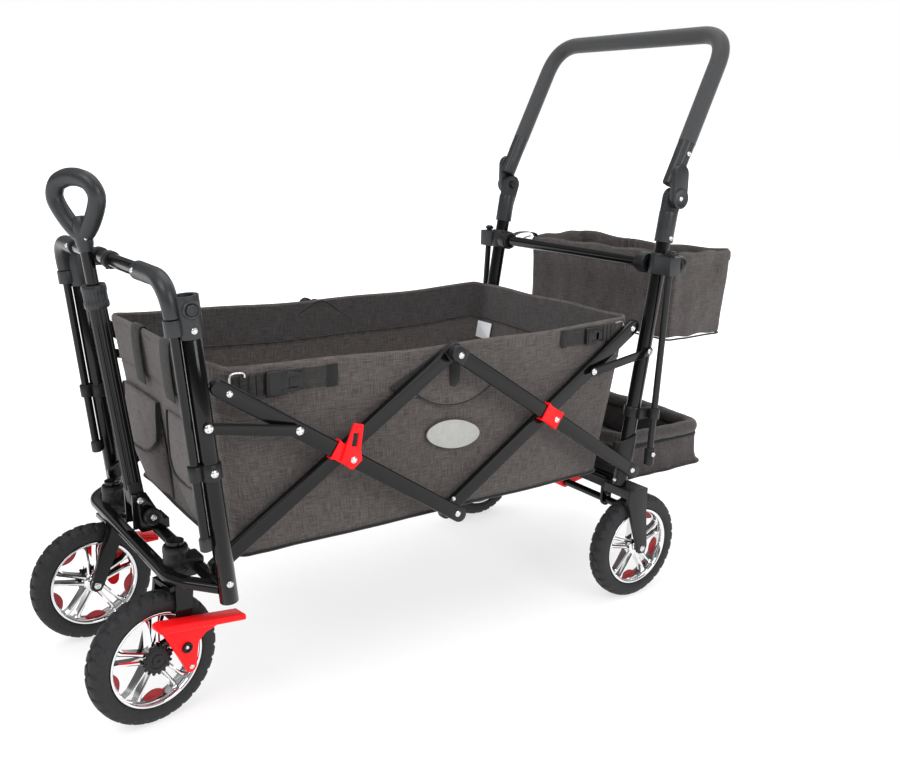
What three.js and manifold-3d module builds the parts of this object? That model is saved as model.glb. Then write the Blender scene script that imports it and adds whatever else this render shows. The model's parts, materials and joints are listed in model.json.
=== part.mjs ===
// Folding wagon with a pull handle at the front and a push bar at the rear.
// Millimetres, +Z up, +Y towards the rear, +X to the right-hand side.
// Two upright frames stand on wheels and are joined on each side by two crossed pairs of links,
// so the wagon folds along its length. A fabric tub, a basket and a foot well hang in the frames.
import * as THREE from 'three';
import { mergeVertices } from 'three/addons/utils/BufferGeometryUtils.js';
import Module from 'manifold-3d';

const wasm = await Module();
wasm.setup();

// ---- driving dimensions -------------------------------------------------------------------
const GAP = 0.3;                  // between pieces that touch
const RUN = 1.0;                  // between pieces that turn or slide past each other

const WHEEL_R = 100;              // all four wheels
const TYRE_W = 34;
const RIM_R = 73;

const LINK_LENGTH = 470;          // scissor link, end pivot to end pivot
const LINK_ANGLE = 33.5;          // degrees above level when the wagon is open
const LINK_H = 24;
const LINK_T = 12;
const LINK_END = 5;               // link material past its end pivot, before the round end
const LOW_PIVOT_Z = 255.5;
const FRONT_PIVOT_Y = -401;

const OUTER_X = 252;              // plane of the front uprights and of links A and C
const INNER_X = 230;              // plane of the rear uprights and of links B and D
const UPRIGHT_R = 13.2;
const UPRIGHT_WALL = 1.8;
const FRONT_LEAN = -0.10;         // y per unit of z
const REAR_LEAN = 0.16;
const FRONT_TOP_Z = 612;
const FRONT_BOTTOM_Z = 207;
const REAR_TOP_Z = 702;

const TUB_HALF_WIDTH = 217;
const TUB_TOP_Z = 531;
const TUB_BOTTOM_Z = 248;
const TUB_WALL = 4;

const STEM_X = 147.5;             // caster swivel axis
const STEM_Y = -433;
const STEM_R = 8;
const TRAIL = 45;                 // swivel axis to axle, ahead of the stem as the wagon stands
const CASTER_YAW = { right: 10, left: 3 };
const CROWN_Z = 202;              // underside of the fork crown
const CROWN_T = 7;

const REAR_AXLE = { x: 243, y: 410 };
const BEAM = { y: 396, z: 203, depth: 34, height: 17 };
const BRAKE_BAR = { y: 398, z: 172, r: 7 };

const BAR_R = 10;                 // front and rear cross bars
const FRONT_BAR_Z = 661;
const ROD_R = 6.5;
const ROD_OFFSET = 21;            // front rods stand this far ahead of their uprights
const ELBOW_R = 13;
const ELBOW_INNER_X = 150;

const HANDLE_PIVOT = { y: -441, z: 291 };
const HANDLE_LEAN = -0.124;
const HANDLE_TUBE_R = 13.5;
const HANDLE_TUBE_LENGTH = 318;
const HANDLE_INNER_R = 9;
const GRIP_R = 12.5;
const GRIP_HALF_WIDTH = 46;

const PUSH_PIVOT = { y: 466, z: 741 };
const PUSH_LEAN = 0.48;
const PUSH_TOP_Z = 1026;
const PUSH_TUBE_R = 15;
const PUSH_BEND_R = 62;
const KNUCKLE_R = 18;

// ---- derived places ------------------------------------------------------------------------
const rad = THREE.MathUtils.degToRad;
const SIDES = { right: 1, left: -1 };
const HALF_Y = LINK_LENGTH / 2 * Math.cos(rad(LINK_ANGLE));
const HALF_Z = LINK_LENGTH / 2 * Math.sin(rad(LINK_ANGLE));
const HIGH_PIVOT_Z = LOW_PIVOT_Z + 2 * HALF_Z;
const MID_PIVOT_Y = FRONT_PIVOT_Y + 2 * HALF_Y;
const REAR_PIVOT_Y = FRONT_PIVOT_Y + 4 * HALF_Y;
const frontY = (z) => FRONT_PIVOT_Y + FRONT_LEAN * (z - LOW_PIVOT_Z);
const rearY = (z) => REAR_PIVOT_Y + 2 + REAR_LEAN * (z - LOW_PIVOT_Z);
const pushY = (z) => PUSH_PIVOT.y + 18 + PUSH_LEAN * (z - PUSH_PIVOT.z - 79);

// ---- materials ------------------------------------------------------------------------------
const paint = (color, roughness, metalness = 0) =>
  new THREE.MeshStandardMaterial({ color, roughness, metalness });
const FINISH = {
  frame: () => paint(0x0b0b0c, 0.25, 0.4),
  plastic: () => paint(0x151617, 0.5),
  grip: () => paint(0x242628, 0.55),
  foam: () => paint(0x2b2d2e, 0.85),
  chrome: () => paint(0xd8d8d8, 0.12, 1),
  tyre: () => paint(0x1b1c1d, 0.75),
  red: () => paint(0xe31b20, 0.4),
  fabric: () => paint(0x4b4644, 0.95),
};

// ---- shape helpers ----------------------------------------------------------------------------
function toSolid(geometry) {
  const bare = geometry.clone();
  bare.deleteAttribute('normal');
  bare.deleteAttribute('uv');
  const merged = mergeVertices(bare, 1e-4);
  return new wasm.Manifold(new wasm.Mesh({
    numProp: 3,
    vertProperties: new Float32Array(merged.attributes.position.array),
    triVerts: new Uint32Array(merged.index.array),
  }));
}

function toGeometry(solid) {
  const { vertProperties, triVerts } = solid.getMesh();
  const geometry = new THREE.BufferGeometry();
  geometry.setAttribute('position', new THREE.BufferAttribute(new Float32Array(vertProperties), 3));
  geometry.setIndex(new THREE.BufferAttribute(new Uint32Array(triVerts), 1));
  return geometry;
}

// Joins the shapes in adds and cuts the shapes in cuts from them.
function carve(adds, cuts = []) {
  let solid = adds.map(toSolid).reduce((a, b) => a.add(b));
  for (const cut of cuts) solid = solid.subtract(toSolid(cut));
  return toGeometry(solid);
}

const circle = (r, x = 0, y = 0) => new THREE.Shape().absarc(x, y, r, 0, Math.PI * 2);

// A round bar or tube from one point to another.
function bar(from, to, r, { bore = 0, segments = 7 } = {}) {
  const start = new THREE.Vector3(...from);
  const run = new THREE.Vector3(...to).sub(start);
  const shape = circle(r);
  if (bore) shape.holes.push(new THREE.Path().absarc(0, 0, bore, 0, Math.PI * 2, true));
  const geometry = new THREE.ExtrudeGeometry(shape, {
    depth: run.length(), bevelEnabled: false, curveSegments: segments });
  const turn = new THREE.Quaternion().setFromUnitVectors(new THREE.Vector3(0, 0, 1), run.normalize());
  return geometry.applyQuaternion(turn).translate(start.x, start.y, start.z);
}

// Straight runs joined by round bends of one radius.
function bentPath(points, bend) {
  const path = new THREE.CurvePath();
  const p = points.map((q) => new THREE.Vector3(...q));
  let from = p[0];
  for (let i = 1; i < p.length - 1; i += 1) {
    const back = p[i - 1].clone().sub(p[i]).normalize();
    const ahead = p[i + 1].clone().sub(p[i]).normalize();
    const into = p[i].clone().addScaledVector(back, bend);
    const out = p[i].clone().addScaledVector(ahead, bend);
    path.add(new THREE.LineCurve3(from, into));
    path.add(new THREE.QuadraticBezierCurve3(into, p[i], out));
    from = out;
  }
  path.add(new THREE.LineCurve3(from, p[p.length - 1]));
  return path;
}

function bentBar(points, bend, r, steps, segments = 6) {
  return new THREE.ExtrudeGeometry(circle(r), {
    steps, curveSegments: segments, extrudePath: bentPath(points, bend) });
}

// A flat plate standing in a YZ plane, its thickness running from x0 to x1.
function plate(shape, x0, x1, segments = 6) {
  const geometry = new THREE.ExtrudeGeometry(shape, {
    depth: x1 - x0, bevelEnabled: false, curveSegments: segments });
  const toYZ = new THREE.Matrix4().makeBasis(
    new THREE.Vector3(0, 1, 0), new THREE.Vector3(0, 0, 1), new THREE.Vector3(1, 0, 0));
  return geometry.applyMatrix4(toYZ).translate(x0, 0, 0);
}

// The same plate on either side of the wagon: inner and outer are distances from the middle.
const sidePlate = (shape, side, inner, outer, segments) =>
  (side > 0 ? plate(shape, inner, outer, segments) : plate(shape, -outer, -inner, segments));

// An outline with straight sides and a round end at each of two points.
function stadium(y0, z0, y1, z1, r0, r1 = r0) {
  const angle = Math.atan2(z1 - z0, y1 - y0);
  const quarter = Math.PI / 2;
  return new THREE.Shape()
    .absarc(y0, z0, r0, angle + quarter, angle + 3 * quarter)
    .absarc(y1, z1, r1, angle - quarter, angle + quarter)
    .closePath();
}

function outline(points) {
  return new THREE.Shape(points.map(([y, z]) => new THREE.Vector2(y, z)));
}

function box(x0, x1, y0, y1, z0, z1) {
  return new THREE.BoxGeometry(x1 - x0, y1 - y0, z1 - z0)
    .translate((x0 + x1) / 2, (y0 + y1) / 2, (z0 + z1) / 2);
}

// A disc or drum on an axle along X.
const drum = (x0, x1, y, z, r, segments = 8) => plate(circle(r, y, z), x0, x1, segments);
const sideDrum = (side, inner, outer, y, z, r, segments) =>
  sidePlate(circle(r, y, z), side, inner, outer, segments);

// An open-topped shell between a lower and an upper rounded rectangle {x, y0, y1, z}.
function tray(low, high, corner, wall) {
  const ring = ({ x, y0, y1, z }, inset) => {
    const r = corner - inset * 0.6;
    const spots = [[x, y1, 0], [-x, y1, 1], [-x, y0, 2], [x, y0, 3]];
    return spots.flatMap(([cx, cy, quadrant]) => [0, 0.5, 1].map((part) => {
      const turn = (quadrant + part) * Math.PI / 2;
      const mx = cx - Math.sign(cx) * (r + inset);
      const my = cy === y1 ? cy - r - inset : cy + r + inset;
      return [mx + r * Math.cos(turn), my + r * Math.sin(turn), z];
    }));
  };
  const loft = (rings) => {
    const n = rings[0].length;
    const position = rings.flat(2);
    const index = [];
    for (let level = 0; level < rings.length - 1; level += 1) {
      for (let i = 0; i < n; i += 1) {
        const a = level * n + i;
        const b = level * n + (i + 1) % n;
        index.push(a, b, b + n, a, b + n, a + n);
      }
    }
    const last = (rings.length - 1) * n;
    for (let i = 1; i < n - 1; i += 1) {
      index.push(0, i + 1, i);
      index.push(last, last + i, last + i + 1);
    }
    const geometry = new THREE.BufferGeometry();
    geometry.setAttribute('position', new THREE.Float32BufferAttribute(position, 3));
    geometry.setIndex(index);
    return geometry;
  };
  const open = { ...high, z: high.z + 5 };
  const floor = { ...low, z: low.z + wall };
  return carve([loft([ring(low, 0), ring(high, 0)])], [loft([ring(floor, wall), ring(open, wall)])]);
}

// ---- the model ------------------------------------------------------------------------------
const wagon = new THREE.Group();

function add(name, geometry, material, parent = wagon) {
  const mesh = new THREE.Mesh(geometry, material);
  mesh.name = name;
  parent.add(mesh);
  return mesh;
}

// ---- front frame ------------------------------------------------------------------------------
const SOCKET = { r: 19, z0: CROWN_Z + CROWN_T + 2.5, z1: 262 };
const CROSS_TUBE = { y: -404, z: 226, r: 10 };
const BUMPER = { y: -454, z: 228, r: 11, endX: OUTER_X - UPRIGHT_R - GAP, bend: 60 };

function frontUpright(side) {
  return bar([side * OUTER_X, frontY(FRONT_BOTTOM_Z), FRONT_BOTTOM_Z],
    [side * OUTER_X, frontY(FRONT_TOP_Z), FRONT_TOP_Z], UPRIGHT_R, { bore: UPRIGHT_R - UPRIGHT_WALL });
}

// The bumper tube, the lower cross tube and the two caster sockets are welded together.
function frontChassis() {
  const adds = [bar([-BUMPER.endX, CROSS_TUBE.y, CROSS_TUBE.z], [BUMPER.endX, CROSS_TUBE.y, CROSS_TUBE.z],
    CROSS_TUBE.r)];
  adds.push(bentBar([
    [-BUMPER.endX, CROSS_TUBE.y, BUMPER.z - 2], [-BUMPER.endX + 55, BUMPER.y, BUMPER.z],
    [BUMPER.endX - 55, BUMPER.y, BUMPER.z], [BUMPER.endX, CROSS_TUBE.y, BUMPER.z - 2]],
  30, BUMPER.r, 24));
  const cuts = [];
  for (const side of [1, -1]) {
    adds.push(bar([side * STEM_X, STEM_Y, SOCKET.z0], [side * STEM_X, STEM_Y, SOCKET.z1], SOCKET.r));
    cuts.push(bar([side * STEM_X, STEM_Y, SOCKET.z0 - 5], [side * STEM_X, STEM_Y, SOCKET.z1 + 5],
      STEM_R + RUN));
    cuts.push(frontUprightSleeve(side));
  }
  return carve(adds, cuts);
}

function frontUprightSleeve(side) {
  const low = FRONT_BOTTOM_Z - 20;
  return bar([side * OUTER_X, frontY(low), low], [side * OUTER_X, frontY(320), 320], UPRIGHT_R + GAP);
}

const CAP = { z0: 586, z1: 641, r: 17.5, guideZ0: 590, guideZ1: 611, guideR: 12.5 };
const rodY = (z) => frontY(z) - ROD_OFFSET;
const CAP_BUTTON = { y: frontY(624), z: 624, r: 7.5, x0: OUTER_X + 14, x1: OUTER_X + 20, travel: 3 };
const ELBOW_FOOT_Z = CAP.guideZ1 + RUN + GAP;

function frontCap(side) {
  const x = side * OUTER_X;
  const adds = [
    bar([x, frontY(CAP.z0), CAP.z0], [x, frontY(CAP.z1), CAP.z1], CAP.r),
    bar([x, rodY(CAP.guideZ0), CAP.guideZ0], [x, rodY(CAP.guideZ1), CAP.guideZ1], CAP.guideR),
    sideDrum(side, OUTER_X + 4, CAP_BUTTON.x0 + 3, CAP_BUTTON.y, CAP_BUTTON.z, CAP_BUTTON.r + 3),
  ];
  const cuts = [
    bar([x, frontY(CAP.z0 - 9), CAP.z0 - 9], [x, frontY(FRONT_TOP_Z + 1), FRONT_TOP_Z + 1], UPRIGHT_R + GAP),
    bar([x, frontY(CAP.z0), CAP.z0], [x, frontY(CAP.z1 + 9), CAP.z1 + 9], UPRIGHT_R - UPRIGHT_WALL),
    bar([x, rodY(CAP.z0 - 9), CAP.z0 - 9], [x, rodY(CAP.z1 + 20), CAP.z1 + 20], ROD_R + RUN),
    sideDrum(side, CAP_BUTTON.x0 - CAP_BUTTON.travel - 1, CAP_BUTTON.x1 + 9, CAP_BUTTON.y, CAP_BUTTON.z,
      CAP_BUTTON.r + 0.6),
  ];
  return carve(adds, cuts);
}

function handleBaseBracket() {
  const ear = outline([[-452, 243], [-452, 300], [-430, 300], [-400, 243]]);
  const inner = HANDLE_TUBE_R + 2.5;
  const bolt = HANDLE_PIVOT;
  return carve([
    plate(ear, -inner - 4, -inner), plate(ear, inner, inner + 4),
    box(-inner - 4, inner + 4, -440, -396, CROSS_TUBE.z + CROSS_TUBE.r + GAP, 252),
    drum(-inner - 6, -inner - 2, bolt.y, bolt.z, 7), drum(inner + 2, inner + 6, bolt.y, bolt.z, 7),
  ]);
}

function tub() {
  return tray(
    { x: TUB_HALF_WIDTH - 4, y0: -364, y1: 342, z: TUB_BOTTOM_Z },
    { x: TUB_HALF_WIDTH, y0: -400, y1: 392, z: TUB_TOP_Z }, 20, TUB_WALL);
}

// ---- front bar: slides up out of the front caps ---------------------------------------------------
function frontBar() {
  const y = rodY(FRONT_BAR_Z);
  const foot = ELBOW_FOOT_Z;
  const elbow = (side) => bentBar([[side * OUTER_X, rodY(foot), foot], [side * OUTER_X, y, FRONT_BAR_Z],
    [side * ELBOW_INNER_X, y, FRONT_BAR_Z]], 46, ELBOW_R, 18);
  return carve([
    bar([-ELBOW_INNER_X - 5, y, FRONT_BAR_Z], [ELBOW_INNER_X + 5, y, FRONT_BAR_Z], BAR_R),
    elbow(1), elbow(-1)], [capSleeve(1), capSleeve(-1)]);
}

// The elbows are flattened where they stand against the caps.
function capSleeve(side) {
  const x = side * OUTER_X;
  const top = CAP.z1 + 3;
  return bar([x, frontY(CAP.z0), CAP.z0], [x, frontY(top), top], CAP.r + RUN);
}

function frontRod(side) {
  const top = CAP.guideZ1 + RUN;
  return bar([side * OUTER_X, rodY(297), 297], [side * OUTER_X, rodY(top), top], ROD_R, { segments: 5 });
}

function capButton(side) {
  return sideDrum(side, CAP_BUTTON.x0, CAP_BUTTON.x1, CAP_BUTTON.y, CAP_BUTTON.z, CAP_BUTTON.r, 7);
}

// ---- pull handle -----------------------------------------------------------------------------------
// Built standing on its pivot, then leant forward.
const COLLAR = { r: 18, z0: HANDLE_TUBE_LENGTH - 14, z1: HANDLE_TUBE_LENGTH + 17 };
const INNER_TUBE = { z0: 42, z1: 383 };

function handleOuterTube() {
  return carve([
    bar([0, 0, -11], [0, 0, HANDLE_TUBE_LENGTH], HANDLE_TUBE_R, { segments: 9 }),
    bar([0, 0, COLLAR.z0], [0, 0, COLLAR.z1], COLLAR.r, { segments: 9 }),
  ], [bar([0, 0, 30], [0, 0, COLLAR.z1 + 5], HANDLE_INNER_R + RUN, { segments: 9 })]);
}

function handleInnerTube() {
  return bar([0, 0, INNER_TUBE.z0], [0, 0, INNER_TUBE.z1], HANDLE_INNER_R, { segments: 7 });
}

function handleGrip() {
  const low = INNER_TUBE.z1 + GAP;
  const w = GRIP_HALF_WIDTH;
  const loop = new THREE.CatmullRomCurve3([
    [0, 0, low + 22], [-w * 0.5, 0, low + 38], [-w, 0, low + 68], [-w * 0.72, 0, low + 94],
    [0, 0, low + 104], [w * 0.72, 0, low + 94], [w, 0, low + 68], [w * 0.5, 0, low + 38],
    [0, 0, low + 22]].map((p) => new THREE.Vector3(...p)));
  const neck = new THREE.LatheGeometry([[0, low], [10.5, low], [13, low + 12], [13, low + 28], [0, low + 34]]
    .map(([r, z]) => new THREE.Vector2(r, z)), 14).rotateX(Math.PI / 2);
  const ring = new THREE.ExtrudeGeometry(circle(GRIP_R), { steps: 26, curveSegments: 5, extrudePath: loop });
  return carve([neck, ring]);
}

// ---- wheels ------------------------------------------------------------------------------------------
const spin = (geometry) => geometry.rotateZ(-Math.PI / 2);

function tyre() {
  const w = TYRE_W / 2;
  const seat = RIM_R + GAP;
  const profile = [[seat, -w + 3], [seat + 10, -w], [WHEEL_R - 9, -w + 1], [WHEEL_R - 2.5, -w + 6],
    [WHEEL_R, 0], [WHEEL_R - 2.5, w - 6], [WHEEL_R - 9, w - 1], [seat + 10, w], [seat, w - 3],
    [seat, -w + 3]];
  return spin(new THREE.LatheGeometry(profile.map(([r, x]) => new THREE.Vector2(r, x)), 40));
}

const HUB = { r: 17, half: 15, bore: 5.5 };

function rim() {
  const w = TYRE_W / 2;
  const band = [[RIM_R - 8, -w + 3], [RIM_R, -w + 3], [RIM_R, w - 3], [RIM_R - 8, w - 3],
    [RIM_R - 8, -w + 3]];
  const adds = [
    spin(new THREE.LatheGeometry(band.map(([r, x]) => new THREE.Vector2(r, x)), 40)),
    drum(-HUB.half, HUB.half, 0, 0, HUB.r)];
  for (let i = 0; i < 5; i += 1) {
    for (const lean of [-9, 9]) {
      const turn = rad(72 * i + 90 + lean);
      const root = rad(72 * i + 90 + lean * 0.8);
      const spoke = stadium(HUB.r * 0.75 * Math.cos(root), HUB.r * 0.75 * Math.sin(root),
        (RIM_R - 6) * Math.cos(turn), (RIM_R - 6) * Math.sin(turn), 3.2, 4);
      adds.push(plate(spoke, -5, 5, 2));
    }
  }
  return carve(adds, [drum(-HUB.half - 2, HUB.half + 2, 0, 0, HUB.bore)]);
}

// ---- casters: built about their own stem, then turned --------------------------------------------------
const ARM = { inner: TYRE_W / 2 + 3, t: 7 };
const TAB = { inner: TYRE_W / 2 + 2, t: 4.5 };
const PEDAL_PIVOT = { y: -6, z: 112 };

function casterFork(side) {
  const z = CROWN_Z;
  const arm = outline([[-TRAIL - 11, WHEEL_R - 4], [-TRAIL - 4, WHEEL_R - 11], [-TRAIL + 6, WHEEL_R - 10],
    [-TRAIL + 12, WHEEL_R], [14, z + 1], [14, z + CROWN_T], [-24, z + CROWN_T], [-26, z - 10]]);
  const tab = outline([[PEDAL_PIVOT.y - 9, PEDAL_PIVOT.z - 9], [PEDAL_PIVOT.y + 9, PEDAL_PIVOT.z - 9],
    [14, z + CROWN_T], [-16, z + CROWN_T]]);
  return carve([
    sidePlate(arm, -side, ARM.inner, ARM.inner + ARM.t),
    sidePlate(tab, side, TAB.inner, TAB.inner + TAB.t),
    box(-ARM.inner - 2, ARM.inner + 2, -24, 14, z, z + CROWN_T),
    bar([0, 0, z], [0, 0, z + CROWN_T + 2], SOCKET.r - 1),
    bar([0, 0, z], [0, 0, SOCKET.z1 + 4], STEM_R),
    bar([0, 0, SOCKET.z1 + RUN], [0, 0, SOCKET.z1 + 7], STEM_R + 5),
    sideDrum(-side, -HUB.half - 1, ARM.inner + 2, -TRAIL, WHEEL_R, HUB.bore - 0.8),
  ]);
}

function pedal(side) {
  const inner = TAB.inner + TAB.t + 0.8;
  const web = outline([[-56, 156], [-6, 71], [6, 71], [12, 112], [84, 130], [84, 140], [-56, 166]]);
  const top = outline([[-57, 158], [84, 132], [84, 141], [-57, 167]]);
  return carve([
    sidePlate(web, side, inner, inner + 5), sidePlate(top, side, inner, inner + 26)]);
}

// ---- scissor links -------------------------------------------------------------------------------------
function link(side, planeX, fromY, fromZ, toY, toZ, startEnd = LINK_END) {
  const run = new THREE.Vector2(toY - fromY, toZ - fromZ).normalize();
  return sidePlate(stadium(fromY - run.x * startEnd, fromZ - run.y * startEnd,
    toY + run.x * LINK_END, toZ + run.y * LINK_END, LINK_H / 2),
    side, planeX - LINK_T / 2, planeX + LINK_T / 2, 5);
}

const FRONT_STRAP = { z: 466, share: 0.28, inner: OUTER_X + UPRIGHT_R + RUN, t: 4 };
const REAR_STRAP = { z: 471, share: 0.25, inner: INNER_X + UPRIGHT_R + RUN, t: 2 };
const STRAP_HALF_H = 8;
const strapEnd = (share) => ({ y: share * 2 * HALF_Y, z: HIGH_PIVOT_Z - share * 2 * HALF_Z });

function frontStrap(side) {
  const end = strapEnd(FRONT_STRAP.share);
  return sidePlate(stadium(frontY(FRONT_STRAP.z), FRONT_STRAP.z, FRONT_PIVOT_Y + end.y, end.z, STRAP_HALF_H),
    side, FRONT_STRAP.inner, FRONT_STRAP.inner + FRONT_STRAP.t, 5);
}

function rearStrap(side) {
  const end = strapEnd(REAR_STRAP.share);
  return sidePlate(stadium(rearY(REAR_STRAP.z), REAR_STRAP.z, REAR_PIVOT_Y - end.y, end.z, STRAP_HALF_H),
    side, REAR_STRAP.inner, REAR_STRAP.inner + REAR_STRAP.t, 5);
}

// The red catch clips over link A where it crosses link B, with a finger lever above it.
function foldLever(side) {
  const y = FRONT_PIVOT_Y + HALF_Y;
  const z = LOW_PIVOT_Z + HALF_Z;
  const x = OUTER_X + LINK_T / 2 + 0.6;
  const body = outline([[y - 18, z - 2], [y + 2, z - 18], [y + 17, z - 6], [y + 15, z + 10], [y + 20, z + 48],
    [y + 4, z + 52], [y - 10, z + 18]]);
  const slot = outline([[y - 1, z + 18], [y + 9, z + 16], [y + 12, z + 36], [y + 3, z + 38]]);
  return carve([sidePlate(body, side, x, x + 4.5)], [sidePlate(slot, side, x - 2, x + 8)]);
}

// ---- rear frame -------------------------------------------------------------------------------------------
const REAR_ROD = { x: 262, lowY: 419, z0: 268, z1: 655, lean: 0.051 };
const rearRodY = (z) => REAR_ROD.lowY + REAR_ROD.lean * (z - REAR_ROD.z0);
const CROWN = { x0: 204, x1: 271, z0: BEAM.z, z1: BEAM.z + BEAM.height };
const BRACKET = { z0: 608, z1: 644, r: 18 };

function rearUpright(side) {
  const low = CROWN.z1 + GAP;
  const start = low - 8;
  return carve([bar([side * INNER_X, rearY(start), start], [side * INNER_X, rearY(REAR_TOP_Z), REAR_TOP_Z],
    UPRIGHT_R, { bore: UPRIGHT_R - UPRIGHT_WALL })], [box(-300, 300, 300, 500, start - 20, low)]);
}

function rearAxleBeam() {
  const half = CROWN.x0 - GAP;
  const adds = [box(-half, half, BEAM.y - BEAM.depth / 2, BEAM.y + BEAM.depth / 2, BEAM.z,
    BEAM.z + BEAM.height)];
  const cuts = [];
  for (const side of [1, -1]) {
    adds.push(sidePlate(stadium(BRAKE_BAR.y, BRAKE_BAR.z, BRAKE_BAR.y, BEAM.z + 4, BRAKE_BAR.r + 5),
      side, 176, 182));
    cuts.push(sideDrum(side, 170, 190, BRAKE_BAR.y, BRAKE_BAR.z, BRAKE_BAR.r + RUN));
  }
  return carve(adds, cuts);
}

function rearFork(side) {
  const arm = outline([[REAR_AXLE.y - 9, WHEEL_R - 8], [REAR_AXLE.y + 6, WHEEL_R - 10],
    [REAR_AXLE.y + 11, WHEEL_R + 4],
    [413, 180], [413, CROWN.z1], [368, CROWN.z1], [366, 196]]);
  const armInner = REAR_AXLE.x + TYRE_W / 2 + 3;
  return carve([
    sidePlate(outline([[368, CROWN.z0], [413, CROWN.z0], [413, CROWN.z1], [368, CROWN.z1]]), side,
      CROWN.x0, CROWN.x1),
    sidePlate(arm, side, armInner, CROWN.x1),
    sideDrum(side, REAR_AXLE.x - HUB.half - 1, armInner + 3, REAR_AXLE.y, WHEEL_R, HUB.bore - 0.8)]);
}

const DISC = { inner: 186, r: 18 };
const rearBarY = rearY(626) - 6;

function rearCrossbar() {
  const edge = INNER_X - BRACKET.r - GAP;
  return carve([
    bar([-edge, rearBarY, 626], [edge, rearBarY, 626], BAR_R),
    drum(DISC.inner, edge, rearBarY, 626, DISC.r, 9), drum(-edge, -DISC.inner, rearBarY, 626, DISC.r, 9)]);
}

function rearBracket(side) {
  const x = side * INNER_X;
  return carve([
    bar([x, rearY(BRACKET.z0), BRACKET.z0], [x, rearY(BRACKET.z1), BRACKET.z1], BRACKET.r),
    sidePlate(outline([[rearRodY(626) - 13, 610], [rearRodY(626) + 13, 610], [rearRodY(626) + 13, 642],
      [rearRodY(626) - 13, 642]]), side, INNER_X + 6, REAR_ROD.x + 12)], [
    bar([x, rearY(590), 590], [x, rearY(660), 660], UPRIGHT_R + GAP),
    bar([side * REAR_ROD.x, rearRodY(590), 590], [side * REAR_ROD.x, rearRodY(665), 665], ROD_R + RUN)]);
}

function rearRod(side) {
  const x = side * REAR_ROD.x;
  return carve([
    bar([x, rearRodY(REAR_ROD.z0), REAR_ROD.z0], [x, rearRodY(REAR_ROD.z1), REAR_ROD.z1], ROD_R,
      { segments: 5 }),
    bar([x, rearRodY(648), 648], [x, rearRodY(658), 658], ROD_R + 4, { segments: 5 })]);
}

function brakeBar() {
  return bar([-220, BRAKE_BAR.y, BRAKE_BAR.z], [220, BRAKE_BAR.y, BRAKE_BAR.z], BRAKE_BAR.r, { segments: 7 });
}

function rearBrakePedal() {
  const lever = outline([[BRAKE_BAR.y, 162], [BRAKE_BAR.y, 182], [452, 186], [458, 178], [452, 172]]);
  return carve([drum(30, 66, BRAKE_BAR.y, BRAKE_BAR.z, BRAKE_BAR.r + 5), plate(lever, 30, 66)],
    [drum(25, 75, BRAKE_BAR.y, BRAKE_BAR.z, BRAKE_BAR.r + GAP)]);
}

function basket() {
  return tray({ x: 196, y0: 512, y1: 656, z: 478 }, { x: 207, y0: 510, y1: 664, z: 636 }, 14, 4);
}

function footWell() {
  return tray({ x: 176, y0: 428, y1: 652, z: 196 }, { x: 178, y0: 426, y1: 660, z: 290 }, 16, 5);
}

// ---- push bar ------------------------------------------------------------------------------------------------
const SLEEVE = { z0: 664, z1: 717, r: 16.5 };
const LOWER_PLATE = { x0: INNER_X - 8, x1: INNER_X + 6 };
const UPPER_PLATE = { x0: INNER_X + 7, x1: INNER_X + 20 };
const BUTTON = { r: 8, x0: LOWER_PLATE.x0 - 5, x1: LOWER_PLATE.x0 + 2.5, travel: 3 };
const PUSH_FOOT_Z = 770;

function pushKnuckle(side) {
  const x = side * INNER_X;
  return carve([
    bar([x, rearY(SLEEVE.z0), SLEEVE.z0], [x, rearY(SLEEVE.z1), SLEEVE.z1], SLEEVE.r, { segments: 9 }),
    sidePlate(stadium(rearY(698), 698, PUSH_PIVOT.y, PUSH_PIVOT.z, SLEEVE.r - 2, KNUCKLE_R), side,
      LOWER_PLATE.x0, LOWER_PLATE.x1)], [
    bar([x, rearY(SLEEVE.z0 - 9), SLEEVE.z0 - 9], [x, rearY(REAR_TOP_Z + 1), REAR_TOP_Z + 1],
      UPRIGHT_R + GAP),
    sideDrum(side, LOWER_PLATE.x0 - 5, BUTTON.x1 + BUTTON.travel + 0.5, PUSH_PIVOT.y, PUSH_PIVOT.z,
      BUTTON.r + 0.6)]);
}

function knuckleButton(side) {
  return sideDrum(side, BUTTON.x0, BUTTON.x1, PUSH_PIVOT.y, PUSH_PIVOT.z, BUTTON.r, 7);
}

function pushBar() {
  const foot = [INNER_X, pushY(PUSH_FOOT_Z), PUSH_FOOT_Z];
  const corner = [INNER_X - 2, pushY(PUSH_TOP_Z), PUSH_TOP_Z];
  const flip = ([x, y, z]) => [-x, y, z];
  const cheek = stadium(PUSH_PIVOT.y, PUSH_PIVOT.z, pushY(PUSH_FOOT_Z + 20), PUSH_FOOT_Z + 20, KNUCKLE_R,
    PUSH_TUBE_R - 1);
  return carve([
    bentBar([foot, corner, flip(corner), flip(foot)], PUSH_BEND_R, PUSH_TUBE_R, 36, 7),
    sidePlate(cheek, 1, UPPER_PLATE.x0, UPPER_PLATE.x1), sidePlate(cheek, -1, UPPER_PLATE.x0,
      UPPER_PLATE.x1)]);
}

// ---- assembly ----------------------------------------------------------------------------------------------------
add('front_chassis', frontChassis(), FINISH.frame());
add('handle_base_bracket', handleBaseBracket(), FINISH.plastic());
add('tub', tub(), FINISH.fabric());
add('front_bar', frontBar(), FINISH.plastic());
add('rear_axle_beam', rearAxleBeam(), FINISH.frame());
add('rear_crossbar', rearCrossbar(), FINISH.frame());
add('rear_brake_bar', brakeBar(), FINISH.frame());
add('rear_brake_pedal', rearBrakePedal(), FINISH.red());
add('basket', basket(), FINISH.fabric());
add('foot_well', footWell(), FINISH.fabric());
add('push_bar', pushBar(), FINISH.foam());

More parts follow.
